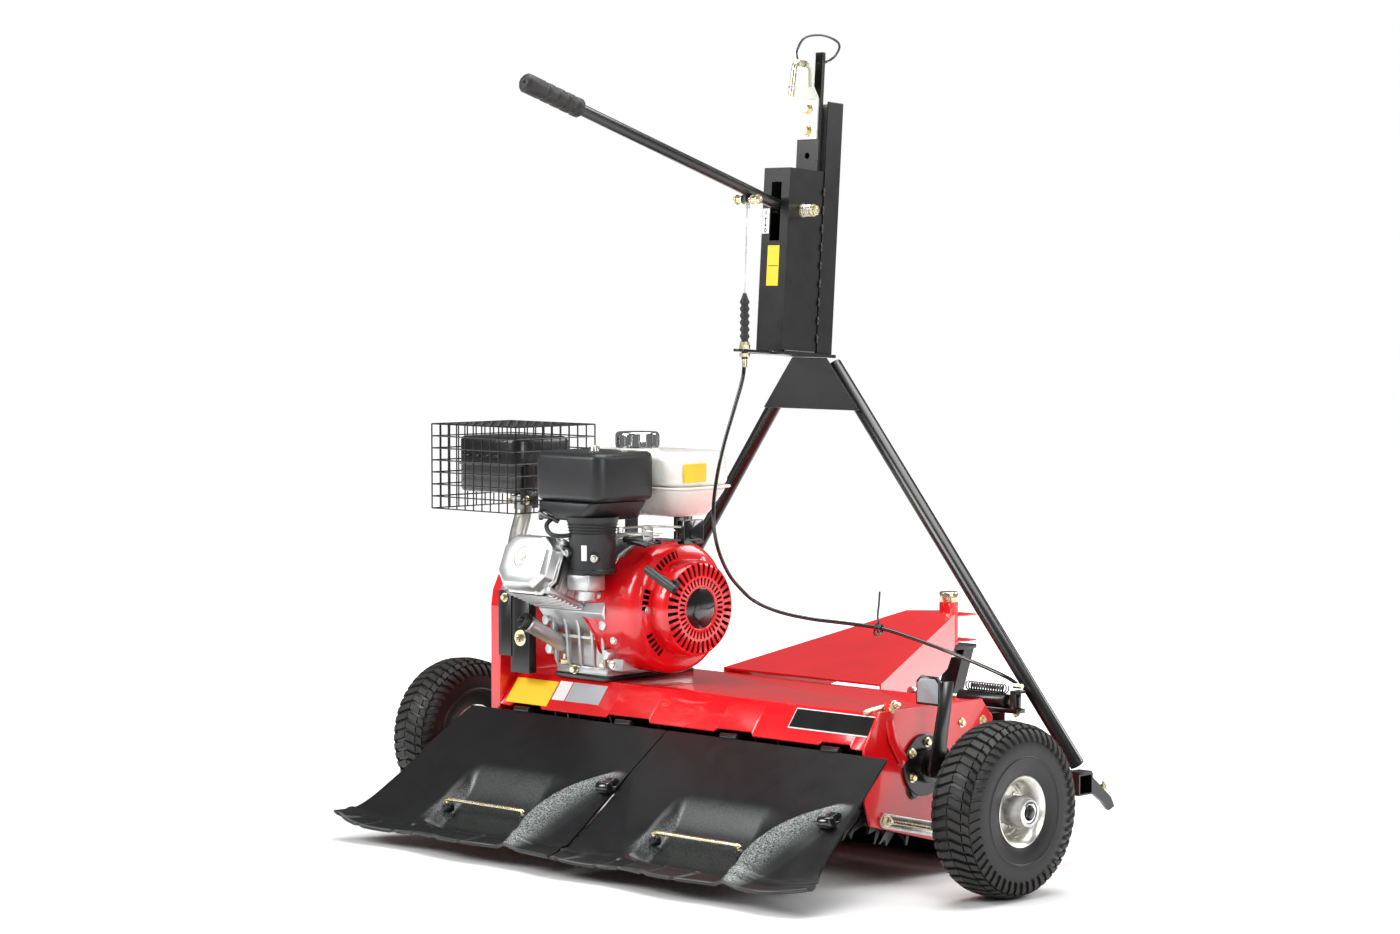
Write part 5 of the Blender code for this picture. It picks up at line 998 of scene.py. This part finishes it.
def valve_cover():
    across, up, corner = 0.069, 0.055, 0.026
    outline = ((-across + corner, -up), (across - corner, -up), (across, -up + corner), (across, up - corner),
               (across - corner, up), (-across + corner, up), (-across, up - corner), (-across, -up + corner))

    def ring(y, share):
        return [(HEAD_X + share * x, y, share * z) for x, z in outline]
    piece(skin([ring(-0.1983, 1.0), ring(-0.2055, 1.0)]), "valve_gasket", "deck", "dark", axes=HEAD_AXES)
    cover = skin([ring(-0.2056, 1.02), ring(-0.2090, 1.02), ring(-0.2105, 0.95), ring(-0.2300, 0.91),
                  ring(-0.2385, 0.80),
                  ring(-0.2402, 0.55)])
    piece(cover, "valve_cover_shell", "deck", "valve_silver", axes=HEAD_AXES, bevel=0.0045, segments=4,
          angle=60,
          stands_for=("valve_cover",))
    boss = turned("Y", (HEAD_X, 0.004), ((-0.2400, 0.0210), (-0.2412, 0.0195), (-0.2412, 0.0150),
                                         (-0.2400, 0.0135),
                                         (-0.2400, 0.0)), 40, capped=False)
    piece(boss, "valve_cover_boss", "deck", "valve_silver", axes=HEAD_AXES, angle=50)
    heads = [bolt((HEAD_X, -0.2402, 0.004), (0, -1, 0), 0.012, 0.005, 0.0098)]
    for x, z in ((-0.058, 0.0), (0.058, 0.0), (-0.030, 0.048), (0.030, -0.048)):
        heads.append(bolt((HEAD_X + x * 1.04, -0.2090, z * 1.04), (0, -1, 0), 0.008, 0.005, 0.0068))
    fasteners("valve_cover_bolts", "deck", "zinc", heads, axes=HEAD_AXES)
    boot = swept(((-0.240, -0.150, 0.075), (-0.240, -0.176, 0.060), (-0.240, -0.186, 0.044)),
                 [0.0105, 0.0100, 0.0085], 20)
    piece(boot, "spark_boot", "deck", "black_gloss", axes=HEAD_AXES, angle=50)
    lead = smooth_path(((-0.240, -0.106, 0.578), (-0.252, -0.135, 0.606), (-0.262, -0.165, 0.592),
                        (-0.240, -0.176, 0.574),
                        (-0.212, -0.160, 0.572), (-0.200, -0.120, 0.582)), 6)
    piece(swept(lead, 0.0042, 12), "spark_lead", "deck", "black_plastic", angle=60)
    clamp = smooth_path(((-0.300, -0.145, 0.600), (-0.284, -0.158, 0.612), (-0.262, -0.160, 0.606),
                         (-0.246, -0.150, 0.596)), 5)
    piece(swept(clamp, 0.0060, 10), "spark_guard", "deck", "black_gloss", angle=60)


def air_cleaner():
    """Filter box with its parting line, on a ribbed intake canister."""
    low, high = CLEANER_BOX
    piece(rounded_box((low.x, low.y, 0.634), tuple(high), 0.024, 8), "filter_cover", "deck", "black_plastic",
          bevel=0.012, segments=6, angle=60, stands_for=("air_cleaner",))
    tray = rounded_box((low.x + 0.003, low.y + 0.003, low.z + 0.001), (-0.140, high.y - 0.004, 0.6335),
                       0.022, 8)
    for vert in tray.verts:
        if vert.co.z < 0.61 and vert.co.x > -0.19:
            vert.co.x -= 0.022
    piece(tray, "filter_tray", "deck", "black_plastic", bevel=0.004, segments=3)
    cx, cy = CANISTER_AT
    profile = [(0.606, 0.0480)]
    for k in range(4):
        z = 0.596 - 0.0055 * k
        wide = 0.0470 - 0.0010 * k
        profile += [(z, wide), (z - 0.0010, wide - 0.0020), (z - 0.0025, wide - 0.0020),
                    (z - 0.0035, wide - 0.0005)]
    profile += [(0.572, 0.0432), (0.569, 0.0425), (0.512, 0.0415), (0.510, 0.0435), (0.504, 0.0435),
                (0.502, 0.0400)]
    piece(turned("Z", (cx, cy), profile, 56), "intake_canister", "deck", "black_plastic", angle=35)
    studs = [spun(((0.0, 0.0100), (0.007, 0.0095)), 24, (x, y, z), (dx, -1, 0))
             for x, y, z, dx in ((-0.208, -0.158, 0.540, -0.3), (-0.153, -0.147, 0.533, 0.5))]
    studs.append(block((-0.226, -0.162, 0.532), (-0.210, -0.135, 0.550)))
    piece(gather(*studs), "canister_bosses", "deck", "black_plastic", bevel=0.0012)
    heads = [bolt((-0.2101, -0.1650, 0.540), (-0.3, -1, 0), 0.008, 0.005, 0.0068),
             bolt((-0.1495, -0.1540, 0.533), (0.5, -1, 0), 0.008, 0.005, 0.0068)]
    fasteners("canister_bolts", "deck", "zinc", heads)
    label = skin([[(cx + r * math.cos(a), cy + r * math.sin(a), z) for a, z in
                   ((math.radians(-72), 0.528), (math.radians(-58), 0.528), (math.radians(-58), 0.556),
                    (math.radians(-72), 0.556))] for r in (0.0415, 0.0430)])
    piece(label, "canister_label", "deck", "white_label")
    nut = gather(turned("Z", (-0.2175, -0.088),
                        ((0.7232, 0.0090), (0.7255, 0.0085), (0.7300, 0.0060), (0.7330, 0.0060)), 20),
                 prism("Y", capsule((-0.2275, 0.7310), (-0.2075, 0.7310), 0.0035), -0.0895, -0.0865))
    piece(nut, "filter_wing_nut", "deck", "zinc", bevel=0.0006)
    rod = gather(swept(((-0.150, -0.100, 0.567), (-0.105, -0.085, 0.572), (-0.075, -0.060, 0.574)), 0.0016,
                       8),
                 swept(((-0.148, -0.096, 0.585), (-0.098, -0.070, 0.590), (-0.060, -0.020, 0.588)), 0.0022,
                       8),
                 block((-0.142, -0.104, 0.575), (-0.098, -0.076, 0.578)),
                 block((-0.100, -0.082, 0.562), (-0.096, -0.056, 0.590)),
                 spun(((0.0, 0.006), (0.010, 0.006)), 16, (-0.138, -0.098, 0.578), (0, 0, 1)),
                 swept(smooth_path(((-0.104, -0.070, 0.590), (-0.085, -0.084, 0.584), (-0.060, -0.075, 0.580),
                                    (-0.046, -0.050, 0.584)), 5), 0.0013, 8))
    piece(rod, "governor_linkage", "deck", "zinc", angle=40)
    arms = gather(block((-0.128, -0.092, 0.556), (-0.080, -0.050, 0.5615)),
                  prism("Y", capsule((-0.126, 0.566), (-0.072, 0.560), 0.006), -0.100, -0.094),
                  block((-0.070, -0.020, 0.556), (-0.052, 0.030, 0.600)),
                  prism("Z", capsule((-0.090, -0.046), (-0.050, 0.010), 0.008), 0.5620, 0.5660))
    piece(arms, "control_levers", "deck", "black_gloss", bevel=0.001)


def fuel_tank():
    """Two pressed halves with a rolled seam, on side brackets."""
    low, high = TANK_BOX
    middle = (low + high) / 2
    seam = TANK_SEAM
    upper = rounded_box((low.x + 0.002, low.y + 0.002, seam), (high.x - 0.002, high.y - 0.002, high.z),
                        0.040, 10)
    for vert in upper.verts:
        if vert.co.z > 0.70:
            vert.co.x = middle.x + (vert.co.x - middle.x) * 0.955
            vert.co.y = middle.y + (vert.co.y - middle.y) * 0.94
    lower = rounded_box((low.x + 0.004, low.y + 0.004, low.z), (high.x - 0.004, high.y - 0.004, seam), 0.038,
                        10)
    for vert in lower.verts:
        if vert.co.z < 0.61:
            vert.co.x = middle.x + (vert.co.x - middle.x) * 0.74
            vert.co.y = middle.y + (vert.co.y - middle.y) * 0.66
    piece(upper, "tank_upper", "deck", "white_paint", bevel=0.018, segments=7, angle=70,
          stands_for=("fuel_tank",))
    piece(lower, "tank_lower", "deck", "white_paint", bevel=0.010, segments=5, angle=70)
    rim_shape = rounded_box((low.x - 0.0025, low.y - 0.0025, seam - 0.0020),
                            (high.x + 0.0025, high.y + 0.0025, seam + 0.0020),
                            0.043, 10)
    piece(rim_shape, "tank_seam", "deck", "white_paint", bevel=0.0014, segments=3)
    label = skin([[(high.x - 0.002 + lift, y, z) for y,
                   z in ((0.010, 0.666), (0.066, 0.666), (0.066, 0.700), (0.010, 0.700))]
                  for lift in (-0.004, 0.0006)])
    piece(label, "tank_label", "deck", "yellow_label")
    x, y = CAP_AT
    piece(turned("Z", CAP_AT, ((0.716, 0.0440), (0.7225, 0.0425), (0.7255, 0.0390), (0.7255, 0.0330),
                               (0.7300, 0.0330),
                               (0.7300, 0.0)), 64, capped=False), "tank_neck", "deck", "white_paint",
          angle=50)
    lid = [turned("Z", CAP_AT, ((0.7262, 0.0360), (0.7262, 0.0405), (0.7500, 0.0405), (0.7530, 0.0392),
                                (0.7545, 0.0365),
                                (0.7550, 0.0)), 64, capped=False)]
    for k in range(18):
        a = math.tau * k / 18
        lid.append(turned("Z", (x + 0.0398 * math.cos(a), y + 0.0398 * math.sin(a)),
                          ((0.7290, 0.0016), (0.7495, 0.0016)), 8))
    piece(gather(*lid), "fuel_cap_lid", "fuel_cap", "chrome", angle=40, stands_for=("fuel_cap",))
    brackets = [block((-0.130, 0.030, 0.560), (-0.124, 0.060, 0.606)),
                block((-0.180, 0.110, 0.540), (-0.174, 0.125, 0.606)),
                block((-0.290, 0.060, 0.560), (-0.284, 0.090, 0.606))]
    piece(gather(*brackets), "tank_brackets", "deck", "black_paint", bevel=0.001)


def guard_and_muffler():
    """Muffler with its seam and slots, its wire cage and the bracket tower beside the engine."""
    refine("muffler", "black_paint", 0.006, 3)
    low, high = GUARD_BOX
    inset = Vector((GUARD_WIRE_R,) * 3)
    a, b = low + inset, high - inset
    steps = [(b - a)[k] / GUARD_CELLS[k] for k in range(3)]
    runs = []
    for k in range(GUARD_CELLS[2] + 1):
        z = a.z + steps[2] * k
        loop = [(a.x, a.y, z), (b.x, a.y, z), (b.x, b.y, z), (a.x, b.y, z)]
        runs += zip(loop, loop[1:] + loop[:1])
    for k in range(GUARD_CELLS[0] + 1):
        x = a.x + steps[0] * k
        runs += [((x, y, a.z), (x, y, b.z)) for y in (a.y, b.y)]
        runs.append(((x, a.y, b.z), (x, b.y, b.z)))
    for k in range(GUARD_CELLS[1] + 1):
        y = a.y + steps[1] * k
        runs += [((x, y, a.z), (x, y, b.z)) for x in (a.x, b.x)]
        runs.append(((a.x, y, b.z), (b.x, y, b.z)))
    wires = [swept(run, GUARD_WIRE_R, 6) for run in runs]
    piece(gather(*wires), "guard_wires", "deck", "black_paint", angle=60, stands_for=("muffler_guard",))
    m0, m1 = MUFFLER_BOX
    seam = rounded_box((m0.x - 0.003, m0.y - 0.003, 0.684), (m1.x + 0.003, m1.y + 0.003, 0.689), 0.031, 8)
    slots = [block((x, m0.y - 0.0035, 0.700), (x + 0.018, m0.y + 0.001, 0.704))
             for x in (-0.600, -0.572, -0.544, -0.516)]
    brackets = [block((-0.500, -0.030, 0.600), (-0.496, 0.030, 0.634)),
                block((-0.450, -0.060, 0.612), (-0.404, -0.056, 0.640)),
                block((-0.440, 0.040, 0.590), (-0.400, 0.060, 0.594))]
    piece(gather(seam, *slots, *brackets), "muffler_details", "deck", "black_paint", bevel=0.0008)
    flange = turned("Z", FLANGE_AT, ((0.6225, 0.024), (0.6290, 0.024)), 32)
    piece(flange, "muffler_flange", "deck", "hot_steel", bevel=0.0008)
    heads = [bolt((FLANGE_AT[0] + 0.024 * s, -0.052, 0.6225), (0, 0, -1), 0.010, 0.007, 0.0085)
             for s in (-1, 1)]
    heads += [bolt((-0.430, -0.0605, 0.622), (0, -1, 0), 0.010, 0.007, 0.0085)]
    fasteners("muffler_bolts", "deck", "brass_zinc", heads)
    tower = gather(block((-0.432, -0.102, 0.300), (-0.380, -0.084, 0.440)),
                   block((-0.4640, -0.104, 0.330), (-0.428, -0.098, 0.452)))
    piece(tower, "tower_bracket", "deck", "black_paint", bevel=0.001)
    bolts = [bolt((-0.404, -0.1022, 0.366), (0, -1, 0), 0.013, 0.009, 0.0155, 0.004),
             bolt((-0.445, -0.1045, 0.440), (0, -1, 0), 0.010, 0.007, 0.009)]
    fasteners("tower_bolts", "deck", "brass_zinc", bolts)


# ---------------------------------------------------------------- clutch, cable and hitch

CABLE_ROUTE = (
    (0.000, 0.0840, 0.888), (-0.001, 0.079, 0.855), (-0.006, 0.062, 0.800), (-0.012, 0.045, 0.745),
    (-0.017, 0.032, 0.690), (-0.020, 0.024, 0.635), (-0.020, 0.024, 0.590), (-0.024, 0.040, 0.545),
    (-0.036, 0.078, 0.500), (-0.046, 0.120, 0.468), (-0.040, 0.155, 0.441), (0.000, 0.178, 0.423),
    (0.060, 0.198, 0.413), (0.120, 0.222, 0.408), (0.186, 0.250, 0.401), (0.250, 0.272, 0.384),
    (0.320, 0.285, 0.365), (0.390, 0.288, 0.347), (0.450, 0.284, 0.332), (0.480, 0.277, 0.324),
    (0.4935, 0.2712, 0.3185),
)


def clutch():
    refine("clutch_housing", "black_paint", 0.001)
    refine("clutch_plunger", "zinc", 0.0006)
    y, z = CLUTCH_AXIS
    spring = coil((0.372, y + 0.006, z + 0.0215), (0.462, y + 0.006, z + 0.0215), 0.0075, 15, 0.0013)
    piece(spring, "clutch_spring", "deck", "black_paint", angle=60)
    ends = [bolt((0.3615, y, z), (-1, 0, 0), 0.015, 0.006, 0.0125, 0.003),
            bolt((0.4917, y - 0.004, z - 0.018), (1, 0, 0), 0.010, 0.006, 0.008)]
    ends.append(turned("X", (y + 0.0012, z + 0.030), ((0.483, 0.0050), (0.502, 0.0050)), 6))
    fasteners("clutch_fittings", "deck", "brass_zinc", ends)


def control_cable():
    route = smooth_path(CABLE_ROUTE, 4)
    piece(swept(route, CABLE_R, 14), "cable_sleeve", "deck", "black_gloss", angle=60,
          stands_for=("control_cable",),
          blend=("hitch", "deck", route[0], route[44]))
    at = CABLE_TIE_AT
    loop = [at + Vector((0.0015 * math.sin(a), 0.0075 * math.cos(a), 0.0075 * math.sin(a) - 0.002))
            for a in (math.tau * k / 24 for k in range(24))]
    tail = smooth_path((at + Vector((0.0, -0.006, 0.006)), at + Vector((-0.001, -0.007, 0.022)),
                        at + Vector((0.001, -0.006, 0.045)), at + Vector((0.002, -0.005, 0.068))), 5)
    second = [at + Vector((0.004 * math.sin(a) - 0.006, 0.0095 * math.cos(a), 0.0100 * math.sin(a) - 0.004))
              for a in (math.tau * k / 24 for k in range(24))]
    head = block(tuple(at + Vector((-0.004, -0.011, 0.002))), tuple(at + Vector((0.004, -0.004, 0.009))))
    piece(gather(swept(loop + loop[:1], 0.0019, 8), swept(second + second[:1], 0.0019, 8),
                 swept(tail, 0.0021, 8), head),
          "cable_tie", "deck", "black_gloss", angle=40)


def hitch():
    """Legs, mast, drawbar and what is bolted or welded to them."""
    for node in ("hitch_leg_left", "hitch_leg_right"):
        refine(node, "black_paint", 0.0012, angle=30)
    for node in ("mast_channel", "inner_bar", "drawbar", "gusset_plate"):
        refine(node, "black_paint", 0.0012, angle=30, flat_from=0.0004)
    refine("mast_box", "black_paint", 0.0016, 3, flat_from=0.0004)
    refine("pivot_pin", "brass_zinc", 0.0010)
    refine("top_bracket", "pale_zinc", 0.0010, flat_from=0.0002)
    refine("lever_bolt", "brass_zinc", 0.0005)
    # weld beads down from the legs' heads, and a plug in each foot
    welds = []
    for sign in (-1, 1):
        top = Vector((sign * 0.046, 0.2755, 0.882))
        low = Vector((sign * 0.592, 0.313, 0.186))
        along = (low - top).normalized()
        for k in range(14):
            spot = top + along * (0.008 + 0.0055 * k)
            welds.append(turned("Z", (spot.x - sign * 0.013, spot.y - 0.0125),
                                ((spot.z - 0.003, 0.0022), (spot.z, 0.0034),
                                                                             (spot.z + 0.003, 0.0022)), 10))
        welds.append(swept((low, low + along * 0.003), 0.0132, 20))
    piece(gather(*welds), "leg_welds", "hitch", "black_paint", angle=50)

    beads = []
    for sign in (-1, 1):
        for k in range(9):
            z = 0.020 + 0.034 * k
            beads.append(swept([(sign * (0.0335 + 0.001 * math.sin(j)), 0.0915, z + 0.0032 * j)
                                for j in range(6)],
                               [0.0012, 0.0022, 0.0026, 0.0026, 0.0022, 0.0012], 8))
        beads.append(swept([(sign * 0.034, 0.004 + 0.0045 * k, 0.0010 + 0.0006 * (k % 2))
                            for k in range(19)], 0.0020, 8))
    piece(gather(*beads), "mast_welds", "hitch", "black_paint", axes=MAST_AXES, angle=50)

    def plate(x0, x1, z0, z1, back, front):
        return prism("Y", ((x0, z0), (x1, z0), (x1, z1), (x0, z1)), back, front)

    def mast_label(name, shape, look):
        piece(shape, name, "hitch", look, axes=MAST_AXES)
    mast_label("mast_label_yellow", plate(-0.0145, 0.0145, 0.120, 0.194, 0.0002, -0.0004), "yellow_label")
    mast_label("mast_label_yellow_line", plate(-0.0120, 0.0120, 0.1560, 0.1572, 0.0002, -0.0007),
               "black_gloss")
    mast_label("mast_label_white", plate(-0.0315, -0.0145, 0.216, 0.262, 0.0002, -0.0004), "white_label")
    back, front = -0.0003, -0.0008
    middle, arrows = -0.0231, 0.2375
    marks = [plate(-0.0240, -0.0222, 0.2500, 0.2580, back, front),
             plate(-0.0238, -0.0224, 0.2290, 0.2460, back, front)]
    ring = []
    for k in range(20):
        a = math.tau * k / 20
        ring.append([(middle + r * math.cos(a), y, 0.2220 + 1.35 * r * math.sin(a))
                     for r, y in ((0.0020, back), (0.0032, back), (0.0032, front), (0.0020, front))])
    marks.append(skin(ring, closed=True))
    for s in (-1, 1):
        marks.append(prism("Y", ((middle, arrows + s * 0.0090), (middle + 0.003, arrows + s * 0.0050),
                                 (middle - 0.003, arrows + s * 0.0050)), back, front))
    mast_label("mast_label_marks", gather(*marks), "black_gloss")

    bolts = [bolt((0.0, 0.0727, z), (0, -1, 0), 0.016, 0.010, 0.0125) for z in (0.412, 0.452)]
    bolts += [bolt((0.0, 0.0862, z), (0, 1, 0), 0.016, 0.010, 0.0125, 0.006) for z in (0.412, 0.452)]
    fasteners("bracket_bolts", "hitch", "brass_zinc", bolts, axes=MAST_AXES)
    x = 0.0331
    y, z = LEVER_AT.y, LEVER_AT.z
    stack = [turned("X", (y, z), ((x, 0.0125), (x + 0.002, 0.0125)), 28),
             turned("X", (y, z), ((0.058, 0.0115), (0.060, 0.0115)), 28),
             bolt((0.0602, y, z), (1, 0, 0), 0.016, 0.008, 0.0100, 0.001)]
    fasteners("lever_pivot_nuts", "hitch", "brass_zinc", stack)
    piece(gather(coil((0.036, y, z), (0.0575, y, z), 0.0100, 4.5, 0.0014, 8),
                 turned("X", (y, z), ((-0.0352, 0.0115), (-0.0335, 0.0115)), 28)), "lever_pivot_spring",
          "hitch", "zinc",
          angle=50)
    refine("cable_boot", "rubber", 0.0008)
    # height of the mast's foot at the cable
    base = 0.907 + (0.148 - 0.084) * math.tan(math.radians(3.9))
    rings = [turned("Z", (0.0, 0.084), [(base + height, radius) for height in heights], sides)
             for heights, radius, sides in (((0.0002, 0.0075), 0.0105, 6), ((-0.0140, -0.0072), 0.0100, 6),
                                            ((0.0075, 0.0132), 0.0086, 24))]
    rings.append(turned("Z", (0.0, 0.084), ((0.8780, 0.0046), (0.8930, 0.0046), (0.8950, 0.0040)), 20))
    fasteners("cable_adjuster", "hitch", "brass_zinc", rings)
    refine("inner_wire", "steel", 0.0002, 1)
    pin = smooth_path([MAST_AXES @ Vector(p)
                       for p in ((0.0, 0.0895, 0.535), (0.0, 0.060, 0.535), (0.0, 0.0445, 0.535),
                                                      (0.0, 0.0375, 0.5325), (0.0, 0.0330, 0.5250),
                                                       (0.0, 0.0300, 0.4960),
                                                      (0.0, 0.0268, 0.4700))], 4)
    piece(swept(pin, 0.0055, 16), "top_pin_rod", "top_pin", "brass_zinc", angle=50, stands_for=("top_pin",))
    cuffs = [spun(((-0.006, 0.0070), (0.006, 0.0070)), 20, MAST_AXES @ Vector((0.0, 0.0480, 0.535)),
                  (0, -1, 0.07)),
             spun(((-0.003, 0.0068), (0.003, 0.0068)), 20, MAST_AXES @ Vector((0.0, 0.0290, 0.488)),
                  (0, 0.1, 1))]
    piece(gather(*cuffs), "top_pin_cuffs", "top_pin", "zinc", bevel=0.0006)
    start = MAST_AXES @ Vector((0.004, 0.0360, 0.540))
    end = MAST_AXES @ Vector((0.016, 0.0920, 0.540))
    loop = smooth_path((start, start + Vector((0.002, -0.004, 0.016)), start + Vector((0.010, 0.010, 0.040)),
                        (start + end) / 2 + Vector((0.022, 0.012, 0.046)),
                        end + Vector((0.030, 0.010, 0.034)),
                        end + Vector((0.026, 0.008, 0.014)), end + Vector((0.010, 0.004, 0.002)), end), 6)
    piece(swept(loop, 0.0022, 10), "lanyard", "hitch", "black_gloss", angle=60,
          blend=("top_pin", "hitch", start, (start + end) / 2))
    rings = [spun(((-0.005, 0.0034), (0.005, 0.0034)), 14, end + Vector((0.006, 0.002, 0.001)),
                  (1, 0.3, 0.2)),
             bolt(tuple(end), (0, 1, 0), 0.008, 0.004, 0.007)]
    piece(gather(*rings), "lanyard_ferrules", "hitch", "zinc", angle=30)
    hooks = [bolt((sign * 0.590, 0.392, 0.133), (0, 0.2, 1), 0.012, 0.008, 0.010, 0.006) for sign in (-1, 1)]
    fasteners("hook_bolts", "hitch", "brass_zinc", hooks)


def lever():
    refine("hand_lever", "black_paint", 0.0006, 2, angle=50)
    refine("lever_grip", "rubber", 0.0008, 2)
    y, z = LEVER_AT.y - 0.112, LEVER_AT.z + 0.019
    ends = []
    for sign in (-1, 1):
        ends.append(turned("X", (y, z), ((sign * 0.0100, 0.0085), (sign * 0.0125, 0.0085)), 24))
        ends.append(bolt((sign * 0.0255, y, z), (sign, 0, 0), 0.012, 0.007, 0.0090, 0.002))
        ends.append(turned("X", (y, z), ((sign * 0.0125, 0.0066), (sign * 0.0250, 0.0066)), 24))
    fasteners("lever_barrel_ends", "lever", "brass_zinc", ends)
    collar = swept(((0.0, y, z - 0.016), (0.0, y, z - 0.0065)), 0.0034, 12)
    piece(collar, "lever_wire_clamp", "lever", "zinc", angle=30)


def pedal_painted_reflection():
    """Grey plate on the foot pedal's front face: a painted reflection of the light on the pedal's glossy
    black plate.
    """
    front = ARM_PIVOT[0] - 0.0307
    reflection_plate = prism("Y", ((0.4800, 0.3120), (0.5265, 0.3120), (0.5265, 0.3460), (0.5190, 0.3540),
                      (0.4875, 0.3540),
                      (0.4800, 0.3460)), front - 0.0022, front)
    piece(reflection_plate, "pedal_painted_reflection_plate", "arm_right", "painted_reflection_grey", bevel=0.001)


# ---------------------------------------------------------------- studio

def studio():
    shape = bmesh.new()
    corners = [shape.verts.new(p) for p in ((-14, -14, 0), (14, -14, 0), (14, 14, 0), (-14, 14, 0))]
    shape.faces.new(corners)
    mesh = bpy.data.meshes.new("floor")
    shape.to_mesh(mesh)
    shape.free()
    look = bpy.data.materials.new("floor_white")
    look.use_nodes = True
    nodes, links = look.node_tree.nodes, look.node_tree.links
    shader = nodes["Principled BSDF"]
    shader.inputs["Base Color"].default_value = (0.92, 0.92, 0.92, 1.0)
    shader.inputs["Roughness"].default_value = 0.6
    shader.inputs["Emission Color"].default_value = (1.0, 1.0, 1.0, 1.0)
    place = nodes.new("ShaderNodeTexCoord")
    reach = nodes.new("ShaderNodeVectorMath")
    reach.operation = "LENGTH"
    links.new(place.outputs["Object"], reach.inputs[0])
    glow = nodes.new("ShaderNodeMapRange")
    glow.interpolation_type = "SMOOTHSTEP"
    glow.inputs["From Min"].default_value = 0.8
    glow.inputs["From Max"].default_value = 2.6
    glow.inputs["To Min"].default_value = 0.0
    glow.inputs["To Max"].default_value = 0.9
    links.new(reach.outputs["Value"], glow.inputs["Value"])
    links.new(glow.outputs["Result"], shader.inputs["Emission Strength"])
    mesh.materials.append(look)
    floor = bpy.data.objects.new("floor", mesh)
    bpy.context.scene.collection.objects.link(floor)

    world = bpy.data.worlds.new("studio")
    world.use_nodes = True
    nodes, links = world.node_tree.nodes, world.node_tree.links
    ambient = nodes["Background"]
    ambient.inputs["Color"].default_value = (1.0, 1.0, 1.0, 1.0)
    ambient.inputs["Strength"].default_value = 0.16
    backdrop = nodes.new("ShaderNodeBackground")
    backdrop.inputs["Color"].default_value = (1.0, 1.0, 1.0, 1.0)
    backdrop.inputs["Strength"].default_value = 1.0
    seen = nodes.new("ShaderNodeLightPath")
    choose = nodes.new("ShaderNodeMixShader")
    links.new(seen.outputs["Is Camera Ray"], choose.inputs[0])
    links.new(ambient.outputs[0], choose.inputs[1])
    links.new(backdrop.outputs[0], choose.inputs[2])
    links.new(choose.outputs[0], nodes["World Output"].inputs["Surface"])
    bpy.context.scene.world = world
    bpy.context.scene.view_settings.view_transform = "Standard"

    def softbox(name, place, aim, size, watts):
        light = bpy.data.lights.new(name, "AREA")
        light.shape = "RECTANGLE"
        light.size, light.size_y = size
        light.energy = watts
        made = bpy.data.objects.new(name, light)
        made.location = place
        made.rotation_euler = (Vector(aim) - Vector(place)).to_track_quat("-Z", "Y").to_euler()
        bpy.context.scene.collection.objects.link(made)
    middle = (0.0, 0.0, 0.5)
    softbox("key", (-2.2, -3.6, 3.0), middle, (2.2, 2.2), 165)
    softbox("fill", (4.2, -1.2, 2.2), middle, (2.0, 1.6), 80)
    softbox("top", (0.2, 0.4, 3.8), middle, (3.2, 3.2), 190)
    softbox("back", (1.8, 3.8, 2.6), middle, (2.4, 1.6), 100)


def camera():
    azimuth, pitch = math.radians(44.57), math.radians(3.17)
    aim = Vector((-math.sin(azimuth) * math.cos(pitch), math.cos(azimuth) * math.cos(pitch),
                  -math.sin(pitch)))
    lens = bpy.data.cameras.new("camera")
    lens.sensor_width = 36.0
    lens.lens = 88.59
    made = bpy.data.objects.new("camera", lens)
    made.location = (4.355, -4.576, 1.044)
    made.rotation_euler = aim.to_track_quat("-Z", "Y").to_euler()
    bpy.context.scene.collection.objects.link(made)
    bpy.context.scene.camera = made


for each in ("left", "right"):
    tyre(each)
    rim(each)
    flap(each)
flap_clips()
deck()
drive()
recoil_cover()
fan_shroud()
starter()
crankcase()
valve_cover()
air_cleaner()
fuel_tank()
guard_and_muffler()
clutch()
control_cable()
hitch()
lever()
pedal_painted_reflection()
studio()
camera()
